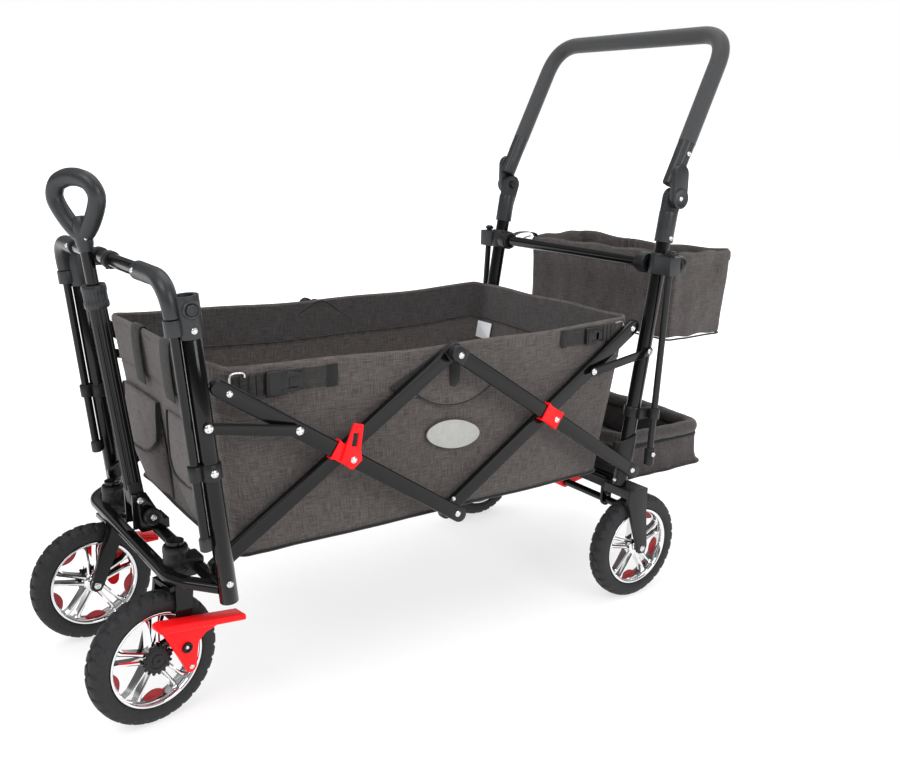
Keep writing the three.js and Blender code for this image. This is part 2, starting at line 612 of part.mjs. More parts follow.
const handle = new THREE.Group();
handle.position.set(0, HANDLE_PIVOT.y, HANDLE_PIVOT.z);
handle.rotation.x = -Math.atan(HANDLE_LEAN);
wagon.add(handle);
add('handle_outer_tube', handleOuterTube(), FINISH.frame(), handle);
add('handle_inner_tube', handleInnerTube(), FINISH.frame(), handle);
add('handle_grip', handleGrip(), FINISH.grip(), handle);

for (const [word, side] of Object.entries(SIDES)) {
  add(`front_upright_${word}`, frontUpright(side), FINISH.frame());
  add(`front_cap_${word}`, frontCap(side), FINISH.plastic());
  add(`front_cap_button_${word}`, capButton(side), FINISH.plastic());
  add(`front_rod_${word}`, frontRod(side), FINISH.frame());
  add(`link_a_${word}`, link(side, OUTER_X, FRONT_PIVOT_Y, HIGH_PIVOT_Z, MID_PIVOT_Y, LOW_PIVOT_Z, 0),
    FINISH.frame());
  add(`link_b_${word}`, link(side, INNER_X, FRONT_PIVOT_Y, LOW_PIVOT_Z, MID_PIVOT_Y, HIGH_PIVOT_Z),
    FINISH.frame());
  add(`link_c_${word}`, link(side, OUTER_X, MID_PIVOT_Y, HIGH_PIVOT_Z, REAR_PIVOT_Y, LOW_PIVOT_Z),
    FINISH.frame());
  add(`link_d_${word}`, link(side, INNER_X, MID_PIVOT_Y, LOW_PIVOT_Z, REAR_PIVOT_Y, HIGH_PIVOT_Z),
    FINISH.frame());
  add(`front_strap_${word}`, frontStrap(side), FINISH.frame());
  add(`rear_strap_${word}`, rearStrap(side), FINISH.frame());
  add(`fold_lever_${word}`, foldLever(side), FINISH.red());
  add(`rear_upright_${word}`, rearUpright(side), FINISH.frame());
  add(`rear_fork_${word}`, rearFork(side), FINISH.plastic());
  add(`rear_bracket_${word}`, rearBracket(side), FINISH.plastic());
  add(`rear_rod_${word}`, rearRod(side), FINISH.frame());
  add(`push_knuckle_${word}`, pushKnuckle(side), FINISH.plastic());
  add(`push_button_${word}`, knuckleButton(side), FINISH.plastic());

  const rearWheel = new THREE.Group();
  rearWheel.position.set(side * REAR_AXLE.x, REAR_AXLE.y, WHEEL_R);
  wagon.add(rearWheel);
  add(`rear_rim_${word}`, rim(), FINISH.chrome(), rearWheel);
  add(`rear_tyre_${word}`, tyre(), FINISH.tyre(), rearWheel);

  const caster = new THREE.Group();
  caster.position.set(side * STEM_X, STEM_Y, 0);
  caster.rotation.z = rad(CASTER_YAW[word]);
  wagon.add(caster);
  add(`caster_fork_${word}`, casterFork(side), FINISH.frame(), caster);
  add(`front_pedal_${word}`, pedal(side), FINISH.red(), caster);
  const frontWheel = new THREE.Group();
  frontWheel.position.set(0, -TRAIL, WHEEL_R);
  caster.add(frontWheel);
  add(`front_rim_${word}`, rim(), FINISH.chrome(), frontWheel);
  add(`front_tyre_${word}`, tyre(), FINISH.tyre(), frontWheel);
}

// The origin is on the ground, under the middle of the wagon's outline.
const bounds = new THREE.Box3().setFromObject(wagon, true);
wagon.position.set(-(bounds.min.x + bounds.max.x) / 2, -(bounds.min.y + bounds.max.y) / 2, 0);

export default wagon;
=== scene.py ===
# Looks of the folding wagon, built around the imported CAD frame. Metres, +Z up, +Y towards the push bar.
import json
from math import atan, atan2, copysign, cos, dist, exp, pi, radians, sin

import bmesh
import bpy
from mathutils import Matrix, Vector, noise


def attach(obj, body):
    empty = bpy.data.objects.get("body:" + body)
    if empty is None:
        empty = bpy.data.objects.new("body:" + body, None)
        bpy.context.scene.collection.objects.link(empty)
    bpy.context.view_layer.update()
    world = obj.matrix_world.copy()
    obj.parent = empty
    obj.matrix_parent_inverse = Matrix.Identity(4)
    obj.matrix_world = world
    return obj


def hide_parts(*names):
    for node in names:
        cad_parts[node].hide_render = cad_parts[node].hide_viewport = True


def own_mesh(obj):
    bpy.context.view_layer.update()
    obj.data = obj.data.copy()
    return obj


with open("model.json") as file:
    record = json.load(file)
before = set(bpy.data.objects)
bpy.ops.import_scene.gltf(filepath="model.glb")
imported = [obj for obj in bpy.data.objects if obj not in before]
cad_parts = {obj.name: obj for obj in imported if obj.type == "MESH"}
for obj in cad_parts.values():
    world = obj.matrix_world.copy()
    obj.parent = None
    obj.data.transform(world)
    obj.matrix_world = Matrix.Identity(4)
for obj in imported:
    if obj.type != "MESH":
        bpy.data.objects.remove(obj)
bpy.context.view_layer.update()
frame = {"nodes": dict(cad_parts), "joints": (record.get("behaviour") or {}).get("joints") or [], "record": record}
MM = 0.001
JOINTS = {j["name"]: j for j in frame["joints"]}
SIDES = {"right": 1, "left": -1}
BODY_OF = {node: body for body, nodes in frame["record"]["behaviour"]["bodies"].items() for node in nodes}
SLOT_OF = {row["node"]: row["material_slot"] for row in frame["record"]["subparts"]}

# ---- design places, in millimetres, shared with the CAD model ----
FRONT_PIVOT_Y = -401.0
LOW_PIVOT_Z = 255.5
SHIFT_Y = JOINTS["fold"]["pos_m"][1] / MM - FRONT_PIVOT_Y
LINK_LENGTH = 470.0
LINK_ANGLE = radians(33.5)
HALF_Y = LINK_LENGTH / 2 * cos(LINK_ANGLE)
HALF_Z = LINK_LENGTH / 2 * sin(LINK_ANGLE)
HIGH_PIVOT_Z = LOW_PIVOT_Z + 2 * HALF_Z
MID_PIVOT_Y = FRONT_PIVOT_Y + 2 * HALF_Y
REAR_PIVOT_Y = FRONT_PIVOT_Y + 4 * HALF_Y
OUTER_X, INNER_X = 252.0, 230.0
LINK_T = 12.0
UPRIGHT_R = 13.2
BAR_R = 10
FRONT_LEAN, REAR_LEAN, ROD_LEAN = -0.10, 0.16, 0.051
FRONT_TOP_Z = 612
ROD_OFFSET = 21.0
FRONT_BAR_Z, REAR_BAR_Z = 661, 626
HANDLE_PIVOT = (-441.0, 291.0)
HANDLE_LEAN = -0.124
PUSH_PIVOT = (466.0, 741.0)
PUSH_LEAN = 0.48
PUSH_TOP_Z = 1026.0
STEM = (147.5, -433.0)
REAR_ROD_X = 262
GRIP_YAW = 30.0


def front_y(z):
    return FRONT_PIVOT_Y + FRONT_LEAN * (z - LOW_PIVOT_Z)


def rear_y(z):
    return REAR_PIVOT_Y + 2 + REAR_LEAN * (z - LOW_PIVOT_Z)


def rod_y(z):
    return front_y(z) - ROD_OFFSET


def rear_rod_y(z):
    return 419 + ROD_LEAN * (z - 268)


def push_y(z):
    return PUSH_PIVOT[0] + 18 + PUSH_LEAN * (z - PUSH_PIVOT[1] - 79)


def at(x, y, z):
    """A design place in millimetres, as a point in the row frame in metres."""
    return Vector((x, y + SHIFT_Y, z)) * MM


def clamp(t):
    return max(0.0, min(1.0, t))


def ripple(x, y, z, seed):
    return noise.noise(Vector((x, y, z)) + Vector(seed))


# ---- shader nodes ----
def wire(tree, made, sockets):
    """Sets a node's inputs: another node's output is linked, anything else is a value."""
    for key, value in sockets.items():
        if isinstance(value, bpy.types.NodeSocket):
            tree.links.new(value, made.inputs[key])
        else:
            made.inputs[key].default_value = value


def node(tree, kind, sockets=None, **settings):
    made = tree.nodes.new("ShaderNode" + kind)
    for key, value in settings.items():
        setattr(made, key, value)
    wire(tree, made, sockets or {})
    return made


def ramp(tree, factor, stops):
    """A colour ramp over factor; stops are (position, colour)."""
    made = node(tree, "ValToRGB", {"Fac": factor})
    points = made.color_ramp.elements
    for i, (position, color) in enumerate(stops):
        point = points[i] if i < 2 else points.new(position)
        point.position, point.color = position, (*color, 1)
    return made.outputs["Color"]


def blank(name):
    made = bpy.data.materials.new(name)
    made.use_nodes = True
    return made, made.node_tree, made.node_tree.nodes["Principled BSDF"]


# ---- camera, light and floor ----
def camera():
    data = bpy.data.cameras.new("camera")
    data.sensor_width = 36
    data.lens = 39.4
    data.clip_end = 50
    obj = bpy.data.objects.new("camera", data)
    azimuth, elevation, roll = (radians(a) for a in (54.48, 14.34, 1.18))
    back = Vector((sin(azimuth) * cos(elevation), -cos(azimuth) * cos(elevation), sin(elevation)))
    right = Vector((cos(azimuth), sin(azimuth), 0))
    up = back.cross(right)
    rows = (cos(roll) * right + sin(roll) * up, -sin(roll) * right + cos(roll) * up, back)
    obj.matrix_world = Matrix.Translation(at(1448.3, -879.7, 847.2)) @ Matrix(rows).transposed().to_4x4()
    bpy.context.scene.collection.objects.link(obj)
    bpy.context.scene.camera = obj


def area_light(name, place, target, size, power):
    data = bpy.data.lights.new(name, "AREA")
    data.shape = "RECTANGLE"
    data.size, data.size_y = size
    data.energy = power
    obj = bpy.data.objects.new(name, data)
    obj.location = place
    obj.rotation_euler = (Vector(target) - Vector(place)).to_track_quat("-Z", "Y").to_euler()
    bpy.context.scene.collection.objects.link(obj)


def studio():
    """White surroundings for the camera and for diffuse light; dimmer, banded light for gloss."""
    scene = bpy.context.scene
    scene.view_settings.view_transform = "Standard"
    scene.world = bpy.data.worlds.new("world")
    scene.world.use_nodes = True
    tree = scene.world.node_tree
    height = node(tree, "SeparateXYZ", {"Vector": node(tree, "TexCoord").outputs["Generated"]}).outputs["Z"]
    bands = ramp(tree, height, [(z, (level,) * 3) for z, level in (
        (0.0, 0.62), (0.55, 0.30), (0.16, 0.10), (0.30, 0.12), (0.42, 0.55), (0.8, 0.42))])
    path = node(tree, "LightPath").outputs
    white = (1.0, 1.0, 1.0, 1)
    light = node(tree, "Mix", {"Factor": path["Is Glossy Ray"], "A": white, "B": bands}, data_type="RGBA")
    seen = node(tree, "Mix", {"Factor": path["Is Camera Ray"], "A": light.outputs["Result"], "B": white},
                data_type="RGBA")
    wire(tree, tree.nodes["Background"], {"Color": seen.outputs["Result"], "Strength": 1.0})
    area_light("key", (0.9, -2.4, 3.0), (0, 0, 0.3), (2.0, 1.4), 40)
    area_light("side", (3.2, 0.4, 2.0), (0, 0, 0.4), (1.6, 1.2), 34)
    area_light("top", (-0.4, 0.6, 3.4), (0, 0, 0.3), (3.0, 3.0), 42)
    area_light("back", (-1.2, 3.0, 2.0), (0, 0, 0.5), (2.0, 1.6), 16)
    size = 40
    mesh = bpy.data.meshes.new("floor")
    mesh.from_pydata([(-size, -size, 0), (size, -size, 0), (size, size, 0), (-size, size, 0)], [], [(0, 1, 2, 3)])
    floor = bpy.data.objects.new("floor", mesh)
    floor.data.materials.append(floor_white())
    scene.collection.objects.link(floor)


def floor_white():
    """White paper: its own light softens the shadows and hides the horizon further out."""
    surface, tree, shader = blank("floor")
    place = node(tree, "TexCoord").outputs["Object"]
    distance = node(tree, "VectorMath", {0: place}, operation="LENGTH").outputs["Value"]
    fade = node(tree, "MapRange", {"Value": distance, "From Min": 0.9, "From Max": 2.4, "To Min": 0.64,
                                   "To Max": 1.05})
    wire(tree, shader, {"Base Color": (0.40, 0.40, 0.40, 1), "Roughness": 0.9, "Specular IOR Level": 0.05,
                        "Emission Color": (1, 1, 1, 1), "Emission Strength": fade.outputs["Result"]})
    return surface


# ---- materials ----
def material(name, color, roughness, bump, mottle, metallic=0.0, specular=0.5, coat=0.0, sheen=0.0,
             rough_spread=0.0):
    """A surface with a fine grain (bump: scale, depth in mm) and slow colour mottling (scale, amount)."""
    made, tree, shader = blank(name)
    wire(tree, shader, {"Base Color": (*color, 1), "Roughness": roughness, "Metallic": metallic,
                        "Specular IOR Level": specular})
    if coat:
        wire(tree, shader, {"Coat Weight": coat, "Coat Roughness": 0.08})
    if sheen:
        wire(tree, shader, {"Sheen Weight": sheen, "Sheen Roughness": 0.5})
    place = node(tree, "TexCoord").outputs["Object"]
    grain = node(tree, "TexNoise", {"Vector": place, "Scale": bump[0], "Detail": 3}).outputs["Fac"]
    lift = node(tree, "Bump", {"Height": grain, "Distance": bump[1] * MM, "Strength": 1})
    cloud = node(tree, "TexNoise", {"Vector": place, "Scale": mottle[0], "Detail": 4}).outputs["Fac"]
    tint = ramp(tree, cloud, [(0.3, [c * (1 - mottle[1]) for c in color]),
                              (0.7, [min(1, c * (1 + mottle[1])) for c in color])])
    wire(tree, shader, {"Normal": lift.outputs["Normal"], "Base Color": tint})
    if rough_spread:
        spread = node(tree, "MapRange", {"Value": cloud, "To Min": max(0.02, roughness - rough_spread),
                                         "To Max": min(1, roughness + rough_spread)})
        wire(tree, shader, {"Roughness": spread.outputs["Result"]})
    return made


def woven(name, color, pitch, contrast, depth, sheen=0.25):
    """Cloth with crossing threads. The UV map is in metres along the cloth; pitch is in millimetres."""
    made, tree, shader = blank(name)
    uv = node(tree, "UVMap").outputs["UV"]
    fine = 1000 / pitch

    def threads(across, run):
        stretch = node(tree, "Mapping", {"Vector": uv, "Scale": (across, run, 1)}).outputs["Vector"]
        return node(tree, "TexNoise", {"Vector": stretch, "Scale": 1, "Detail": 2}).outputs["Fac"]

    def mix(a, b, kind):
        return node(tree, "Math", {0: a, 1: b}, operation=kind).outputs["Value"]

    def wave(direction):
        return node(tree, "TexWave", {"Vector": uv, "Scale": fine / 6.283 * 2, "Distortion": 0.4},
                    bands_direction=direction).outputs["Fac"]

    warp = threads(fine, fine / 14)
    weft = threads(fine / 14, fine)
    slub = threads(70, 190)
    tone = mix(mix(warp, weft, "ADD"), mix(slub, 0.26, "MULTIPLY"), "ADD")
    tint = ramp(tree, mix(tone, 0.43, "MULTIPLY"), [(0.36, [c * (1 - contrast) for c in color]),
                                                    (0.66, [c * (1 + contrast) for c in color])])
    lift = node(tree, "Bump", {"Distance": depth * MM,
                               "Height": mix(mix(wave("X"), wave("Y"), "ADD"), warp, "ADD")})
    wire(tree, shader, {"Base Color": tint, "Normal": lift.outputs["Normal"], "Roughness": 0.9,
                        "Specular IOR Level": 0.25, "Sheen Weight": sheen, "Sheen Roughness": 0.45})
    return made


GLOSS = material("gloss_black", (0.0035, 0.0035, 0.0038), 0.13, (900, 0.02), (60, 0.12), specular=0.22, coat=0.16,
                 rough_spread=0.04)
SATIN = material("satin_black", (0.008, 0.0083, 0.0095), 0.4, (1600, 0.05), (120, 0.2), specular=0.35,
                 rough_spread=0.08)
RUBBER = material("rubber_grey", (0.020, 0.0215, 0.0235), 0.36, (1400, 0.05), (90, 0.15), specular=0.4,
                  rough_spread=0.06)
FOAM = material("foam_black", (0.028, 0.029, 0.031), 0.62, (2600, 0.14), (700, 0.25), sheen=0.15)
CHROME = material("chrome", (0.86, 0.86, 0.87), 0.09, (300, 0.02), (50, 0.04), metallic=1.0, rough_spread=0.04)
ZINC = material("zinc", (0.72, 0.72, 0.72), 0.28, (900, 0.03), (400, 0.1), metallic=1.0, rough_spread=0.06)
TYRE = material("tyre_black", (0.016, 0.0165, 0.018), 0.6, (1500, 0.1), (160, 0.25), specular=0.35,
                rough_spread=0.1)
RED = material("red_plastic", (0.93, 0.007, 0.010), 0.38, (1100, 0.04), (60, 0.06), specular=0.2, rough_spread=0.05)
# The red plastic darkened for the wheel inserts: painted shade for their recess inside the rim.
SHADED_RED = material("shaded_red", (0.30, 0.006, 0.012), 0.4, (1100, 0.04), (60, 0.2), rough_spread=0.05)
THREAD = material("thread", (0.10, 0.095, 0.09), 0.8, (3000, 0.05), (900, 0.3), sheen=0.3)
ZIP = material("zip", (0.02, 0.02, 0.02), 0.35, (900, 0.05), (300, 0.2))
# The tub's canvas, and darker copies of it for the basket and the foot well: painted shade, not a different cloth.
CANVAS, BASKET_CANVAS_SHADED, WELL_CANVAS_SHADED = (
    woven(f"canvas_shade_{shade}", [c * shade for c in (0.086, 0.0735, 0.0695)], 1.6, 0.56, 0.3) for shade in (1.0, 0.8, 0.6))
BAND_CLOTH = woven("band_cloth", (0.052, 0.048, 0.047), 1.6, 0.52, 0.3)
WEBBING = woven("webbing", (0.030, 0.028, 0.027), 1.9, 0.4, 0.5, sheen=0.15)
LINING = woven("piping", (0.012, 0.012, 0.012), 1.2, 0.3, 0.2)
BADGE_PRINT = woven("badge_print", (0.40, 0.40, 0.385), 1.5, 0.12, 0.2)
LABEL_CLOTH = woven("label_cloth", (0.86, 0.87, 0.90), 0.8, 0.03, 0.1)
FINISH_OF_SLOT = {"frame": GLOSS, "plastic": SATIN, "grip": RUBBER, "foam": FOAM, "chrome": CHROME, "tyre": TYRE,
                  "red_plastic": RED, "fabric": CANVAS}


# ---- mesh helpers ----
def soften(mesh, angle):
    mesh.polygons.foreach_set("use_smooth", [True] * len(mesh.polygons))
    mesh.set_sharp_from_angle(angle=radians(angle))


def new_object(name, bm, surface, smooth=40):
    mesh = bpy.data.meshes.new(name)
    bmesh.ops.recalc_face_normals(bm, faces=bm.faces)
    bm.to_mesh(mesh)
    bm.free()
    obj = bpy.data.objects.new(name, mesh)
    bpy.context.scene.collection.objects.link(obj)
    mesh.materials.append(surface)
    soften(mesh, smooth)
    return obj


def apply_modifiers(obj):
    graph = bpy.context.evaluated_depsgraph_get()
    mesh = bpy.data.meshes.new_from_object(obj.evaluated_get(graph))
    old = obj.data
    obj.modifiers.clear()
    obj.data = mesh
    bpy.data.meshes.remove(old)
    return obj


def bevelled(obj, width, segments=2):
    modifier = obj.modifiers.new("bevel", "BEVEL")
    modifier.width = width * MM
    modifier.segments = segments
    modifier.limit_method = "ANGLE"
    modifier.angle_limit = radians(32)
    modifier.use_clamp_overlap = True
    apply_modifiers(obj)
    soften(obj.data, 38)
    return obj


def settle(obj, body, slot, *nodes):
    """Gives a finished piece its body and hides the CAD nodes it stands for; its slot is not used."""
    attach(obj, body)
    if nodes:
        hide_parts(*nodes)
    return obj


def refined(name, surface, bevel=1.0, segments=2):
    """The CAD shape with its flat faces cleaned, its edges rounded and its round faces smooth."""
    bm = bmesh.new()
    bm.from_mesh(frame["nodes"][name].data)
    bmesh.ops.remove_doubles(bm, verts=bm.verts, dist=1e-5)
    bmesh.ops.dissolve_limit(bm, angle_limit=radians(1.5), verts=bm.verts, edges=bm.edges)
    obj = bevelled(new_object(name + "_look", bm, surface), bevel, segments)
    return settle(obj, BODY_OF[name], SLOT_OF[name], name)


def skin(bm, rings, around=True, along=False, caps=False):
    """Faces between neighbouring rings of corners: closed around each ring, or along them all, if asked."""
    size = len(rings[0])
    for low, high in zip(rings, rings[1:] + rings[:1] if along else rings[1:]):
        for k in range(size if around else size - 1):
            j = (k + 1) % size
            bm.faces.new((low[k], low[j], high[j], high[k]))
    if caps:
        bm.faces.new(rings[0][::-1])
        bm.faces.new(rings[-1])


def skinned(name, rings, surface, smooth=40, uv=None, **closed):
    """An object from rings of places in metres; uv gives the run along the cloth at a place."""
    bm = bmesh.new()
    skin(bm, [[bm.verts.new(p) for p in ring] for ring in rings], **closed)
    if uv:
        layer = bm.loops.layers.uv.new("UVMap")
        for face in bm.faces:
            for loop in face.loops:
                loop[layer].uv = uv(loop.vert.co)
    return new_object(name, bm, surface, smooth)


def prism(name, near, far, surface, bevel, segments=2, uv=None):
    """A solid between two matching outlines, with its edges rounded."""
    return bevelled(skinned(name, [near, far], surface, caps=True, uv=uv), bevel, segments)


def frames_along(points, closed=False):
    """A steady cross-section frame at each point of a line."""
    count = len(points)
    tangents = []
    for i in range(count):
        a = points[(i - 1) % count] if closed or i else points[0]
        b = points[(i + 1) % count] if closed or i < count - 1 else points[-1]
        tangents.append((b - a).normalized())
    side = tangents[0].orthogonal().normalized()
    result = []
    for i, tangent in enumerate(tangents):
        if i:
            side = tangents[i - 1].rotation_difference(tangent) @ side
        side = (side - tangent * side.dot(tangent)).normalized()
        result.append((points[i], side, tangent.cross(side)))
    return result


def quad(bm, layer, corners, u, v):
    """One face of cloth; u and v are its runs across and along."""
    face = bm.faces.new(corners)
    for loop, place in zip(face.loops, ((u[0], v[0]), (u[1], v[0]), (u[1], v[1]), (u[0], v[1]))):
        loop[layer].uv = place


def swept(name, points, section, surface, closed=False, smooth=50, aim=None):
    """Sweeps a section (a list of 2-D points in metres, or a function of the share run) along points."""
    bm = bmesh.new()
    layer = bm.loops.layers.uv.new("UVMap")
    rings = []
    runs = [0.0]
    for a, b in zip(points, points[1:]):
        runs.append(runs[-1] + (b - a).length)
    for i, (place, side, up) in enumerate(frames_along(points, closed)):
        if aim is not None:
            tangent = side.cross(up)
            side = (aim - tangent * aim.dot(tangent)).normalized()
            up = tangent.cross(side)
        outline = section(runs[i] / max(runs[-1], 1e-9)) if callable(section) else section
        rings.append([bm.verts.new(place + side * a + up * b) for a, b in outline])
    size, count = len(rings[0]), len(rings)
    around = [0.0]
    outline = section(0.5) if callable(section) else section
    for i in range(size):
        around.append(around[-1] + dist(outline[i], outline[(i + 1) % size]))
    if closed:
        runs.append(runs[-1] + (points[0] - points[-1]).length)
    for i in range(count if closed else count - 1):
        low, high = rings[i], rings[(i + 1) % count]
        for k in range(size):
            j = (k + 1) % size
            quad(bm, layer, (low[k], low[j], high[j], high[k]), around[k:k + 2], runs[i:i + 2])
    if not closed:
        bm.faces.new(rings[0][::-1])
        bm.faces.new(rings[-1])
    return new_object(name, bm, surface, smooth)


def circle(radius, sides):
    return [(radius * cos(2 * pi * k / sides), radius * sin(2 * pi * k / sides)) for k in range(sides)]


def ring_section(radius, sides=24):
    return circle(radius * MM, sides)


def flat_section(width, thick, corner=0.4):
    """A strip's section: width by thick, in millimetres, with rounded corners."""
    w, t, c = width / 2, thick / 2, min(corner, thick / 2 - 0.01)
    points = [(w - c, -t), (w, -t + c), (w, t - c), (w - c, t), (-w + c, t), (-w, t - c), (-w, -t + c), (-w + c, -t)]
    return [(x * MM, y * MM) for x, y in points]


def rounded(places, bend, steps=8):
    """A path of straight runs with rounded corners; places in metres, bend in millimetres."""
    result = [places[0]]
    for before, corner, after in zip(places, places[1:], places[2:]):
        into = corner + (before - corner).normalized() * bend * MM
        out = corner + (after - corner).normalized() * bend * MM
        for i in range(steps + 1):
            t = i / steps
            result.append(into.lerp(corner, t).lerp(corner.lerp(out, t), t))
    return result + [places[-1]]


def smooth_line(knots, parts, closed=False):
    """A Catmull-Rom line through the knots."""
    ends = [2 * knots[0] - knots[1], *knots, 2 * knots[-1] - knots[-2]]
    if closed:
        ends = [knots[-1], *knots, knots[0], knots[1]]
    result = []
    for a, b, c, d in zip(ends, ends[1:], ends[2:], ends[3:]):
        for j in range(parts):
            t = j / parts
            result.append(0.5 * (2 * b + (c - a) * t + (2 * a - 5 * b + 4 * c - d) * t * t
                                 + (3 * b - a - 3 * c + d) * t ** 3))
    return result if closed else result + [knots[-1]]


def lathe(name, profile, surface, segments=64, smooth=40):
    """Turns a profile of (radius, along X) points, in millimetres, about the X axis."""
    bm = bmesh.new()
    turns = circle(1, segments)
    skin(bm, [[bm.verts.new((x * MM, r * MM * c, r * MM * s)) for r, x in profile] for c, s in turns],
         around=False, along=True)
    bmesh.ops.remove_doubles(bm, verts=bm.verts, dist=1e-6)
    return new_object(name, bm, surface, smooth)


def plate(name, outline, x0, x1, surface, bevel):
    """A flat piece standing in a YZ plane; outline in design millimetres, between planes x0 and x1."""
    return prism(name, [at(x0, *p) for p in outline], [at(x1, *p) for p in outline], surface, bevel)


def stadium(y0, z0, y1, z1, r, steps=10):
    angle = atan2(z1 - z0, y1 - y0)
    points = []
    for (cy, cz), start in (((y0, z0), angle + pi / 2), ((y1, z1), angle - pi / 2)):
        for i in range(steps + 1):
            turn = start + pi * i / steps
            points.append((cy + r * cos(turn), cz + r * sin(turn)))
    return points


def join(name, pieces):
    """One object from several that share a material."""
    bm = bmesh.new()
    surface = pieces[0].data.materials[0]
    for piece in pieces:
        piece.data.transform(piece.matrix_world)
        bm.from_mesh(piece.data)
        bpy.data.objects.remove(piece)
    mesh = bpy.data.meshes.new(name)
    bm.to_mesh(mesh)
    bm.free()
    mesh.materials.append(surface)
    obj = bpy.data.objects.new(name, mesh)
    bpy.context.scene.collection.objects.link(obj)
    soften(mesh, 40)
    return obj


# ---- rivets ----
RIVETS = {}
RIVET_PROFILE = ((1, -0.6), (1, 0.5), (0.86, 1.3), (0.55, 2.0), (0.5, 1.7), (0.22, 1.6))


def rivet_head(body, place, facing, r):
    """Notes a domed rivet head on a body; facing is the direction it looks."""
    RIVETS.setdefault(body, []).append((place, facing, r))


def rivet(body, x, y, z, facing, r=5.5):
    rivet_head(body, at(x, y, z), Vector(facing).normalized(), r)


def make_rivets():
    for body, heads in RIVETS.items():
        bm = bmesh.new()
        for place, facing, r in heads:
            turn = Vector((0, 0, 1)).rotation_difference(facing)
            skin(bm, [[bm.verts.new(place + turn @ (Vector((x, y, height)) * MM)) for x, y in circle(r * part, 18)]
                      for part, height in RIVET_PROFILE], caps=True)
        settle(new_object("rivets_" + body, bm, ZINC, 50), body, "chrome")


# ---- wheels ----
BLOCKS = 30


def radial(r, turn, x=0.0):
    return Vector((x, r * cos(turn), r * sin(turn))) * MM


def tyre(name):
    """A tyre about the X axis: shoulder blocks cut by sideways grooves, and one winding groove around it."""
    half = [(0.0, 99.2), (0.7, 98.6), (1.5, 98.9), (2.2, 99.9), (4, 100), (6.5, 99.6), (9, 98.9), (11.4, 97.8),
            (13.3, 96.2), (14.8, 94.0), (15.6, 91.6), (15.8, 90.6), (16.5, 89.8), (16.9, 87), (17, 82), (16.7, 78.6),
            (16.3, 78.0), (16.2, 76.6), (15.0, 74.8), (13.0, 73.6), (11.0, 73.0)]
    profile = [(-x, r) for x, r in half[::-1]] + half[1:]
    steps = BLOCKS * 10
    rings = []
    for i in range(steps):
        turn = 2 * pi * i / steps
        ring = []
        for x, r in profile:
            bend = 0.16 * sin(min(abs(x), 15) / 15 * pi)
            phase = (BLOCKS * turn / (2 * pi) + (0.5 if x > 0 else 0.0) + bend) % 1
            groove = clamp((0.15 - min(phase, 1 - phase)) / 0.05)
            reach = clamp((r - 90.2) / 2.0) * clamp((abs(x) - 2.5) / 2.0)
            ring.append(radial(r - 2.4 * groove * reach, turn, x + (1.9 * sin(BLOCKS * turn) if abs(x) < 3 else 0)))
        rings.append(ring)
    return skinned(name, rings, TYRE, 30, along=True)


def spoke(turn, side):
    """One of the ten bars; side sets which half of a pair it is."""
    across = Vector((0, -sin(turn), cos(turn))) * MM
    places, sizes = [], []
    for i in range(11):
        t = i / 10
        offset = side * (5.2 + 3.6 * t + 2.5 * max(0, t - 0.8) * 5)
        places.append(radial(13 + 54.5 * t, turn) + across * offset)
        sizes.append((8.2 - 2.0 * sin(pi * t) + 2.5 * max(0, t - 0.85) * 6, 20 - 7 * t))

    def section(share):
        place = share * 10
        low = min(int(place), 9)
        width, depth = (a + (b - a) * (place - low) for a, b in zip(sizes[low], sizes[low + 1]))
        return flat_section(depth, width, 2.2)
    return swept("spoke", places, section, CHROME, smooth=35, aim=Vector((1, 0, 0)))


def rim(name):
    band = [(73, -13.6), (72.2, -14.9), (70.6, -15.3), (68.8, -14.6), (67.6, -12.6), (66.3, -10), (65.4, -4), (65.4, 4),
            (66.3, 10), (67.6, 12.6), (68.8, 14.6), (70.6, 15.3), (72.2, 14.9), (73, 13.6), (73, -13.6)]
    boss = [(6, -15), (9.5, -15.2), (10.5, -14.4), (10.8, -12), (15.5, -10.5), (17, -8.5), (17.4, 0), (17, 8.5),
            (15.5, 10.5), (10.8, 12), (10.5, 14.4), (9.5, 15.2), (6, 15), (6, -15)]
    pieces = [lathe("band", band, CHROME, 96), lathe("boss", boss, CHROME, 48)]
    for i in range(5):
        pieces += [spoke(radians(72 * i + 90), half) for half in (1, -1)]
    return join(name, pieces)


def red_inserts(name):
    """Thin red shields just inside the rim, between the spokes, in a darkened red plastic: painted shade for their
    recess behind the spokes.
    """
    pieces = []
    for i in range(5):
        rows = []
        for k in range(13):
            t = k / 12 * 2 - 1
            turn = radians(72 * i + 126) + radians(15) * t
            inner = 65.2 - 9 * (1 - t * t) ** 0.8 - 0.8
            rows.append([radial(r, turn, x) for r, x in ((65.3, -6.0), (inner, -5.0), (inner, -2.4), (65.3, -1.6))])
        pieces.append(skinned("insert", rows, SHADED_RED, caps=True))
    return join(name, pieces)


def hub_gear(name):
    steps = 16 * 8
    profile = [(8, 10.5), (21, 11), (23.5, 12.5), (23.5, 14.5), (19, 16.2), (13, 16.2), (12, 15.2), (9, 15.2),
               (8.5, 16.4), (3, 16.8), (2, 12)]
    rings = []
    for i in range(steps):
        notch = 3.2 if (i // 4) % 2 else 0
        rings.append([radial(r - (notch if r > 18 else 0), 2 * pi * i / steps, x) for r, x in profile])
    return skinned(name, rings, SATIN, 30, along=True)


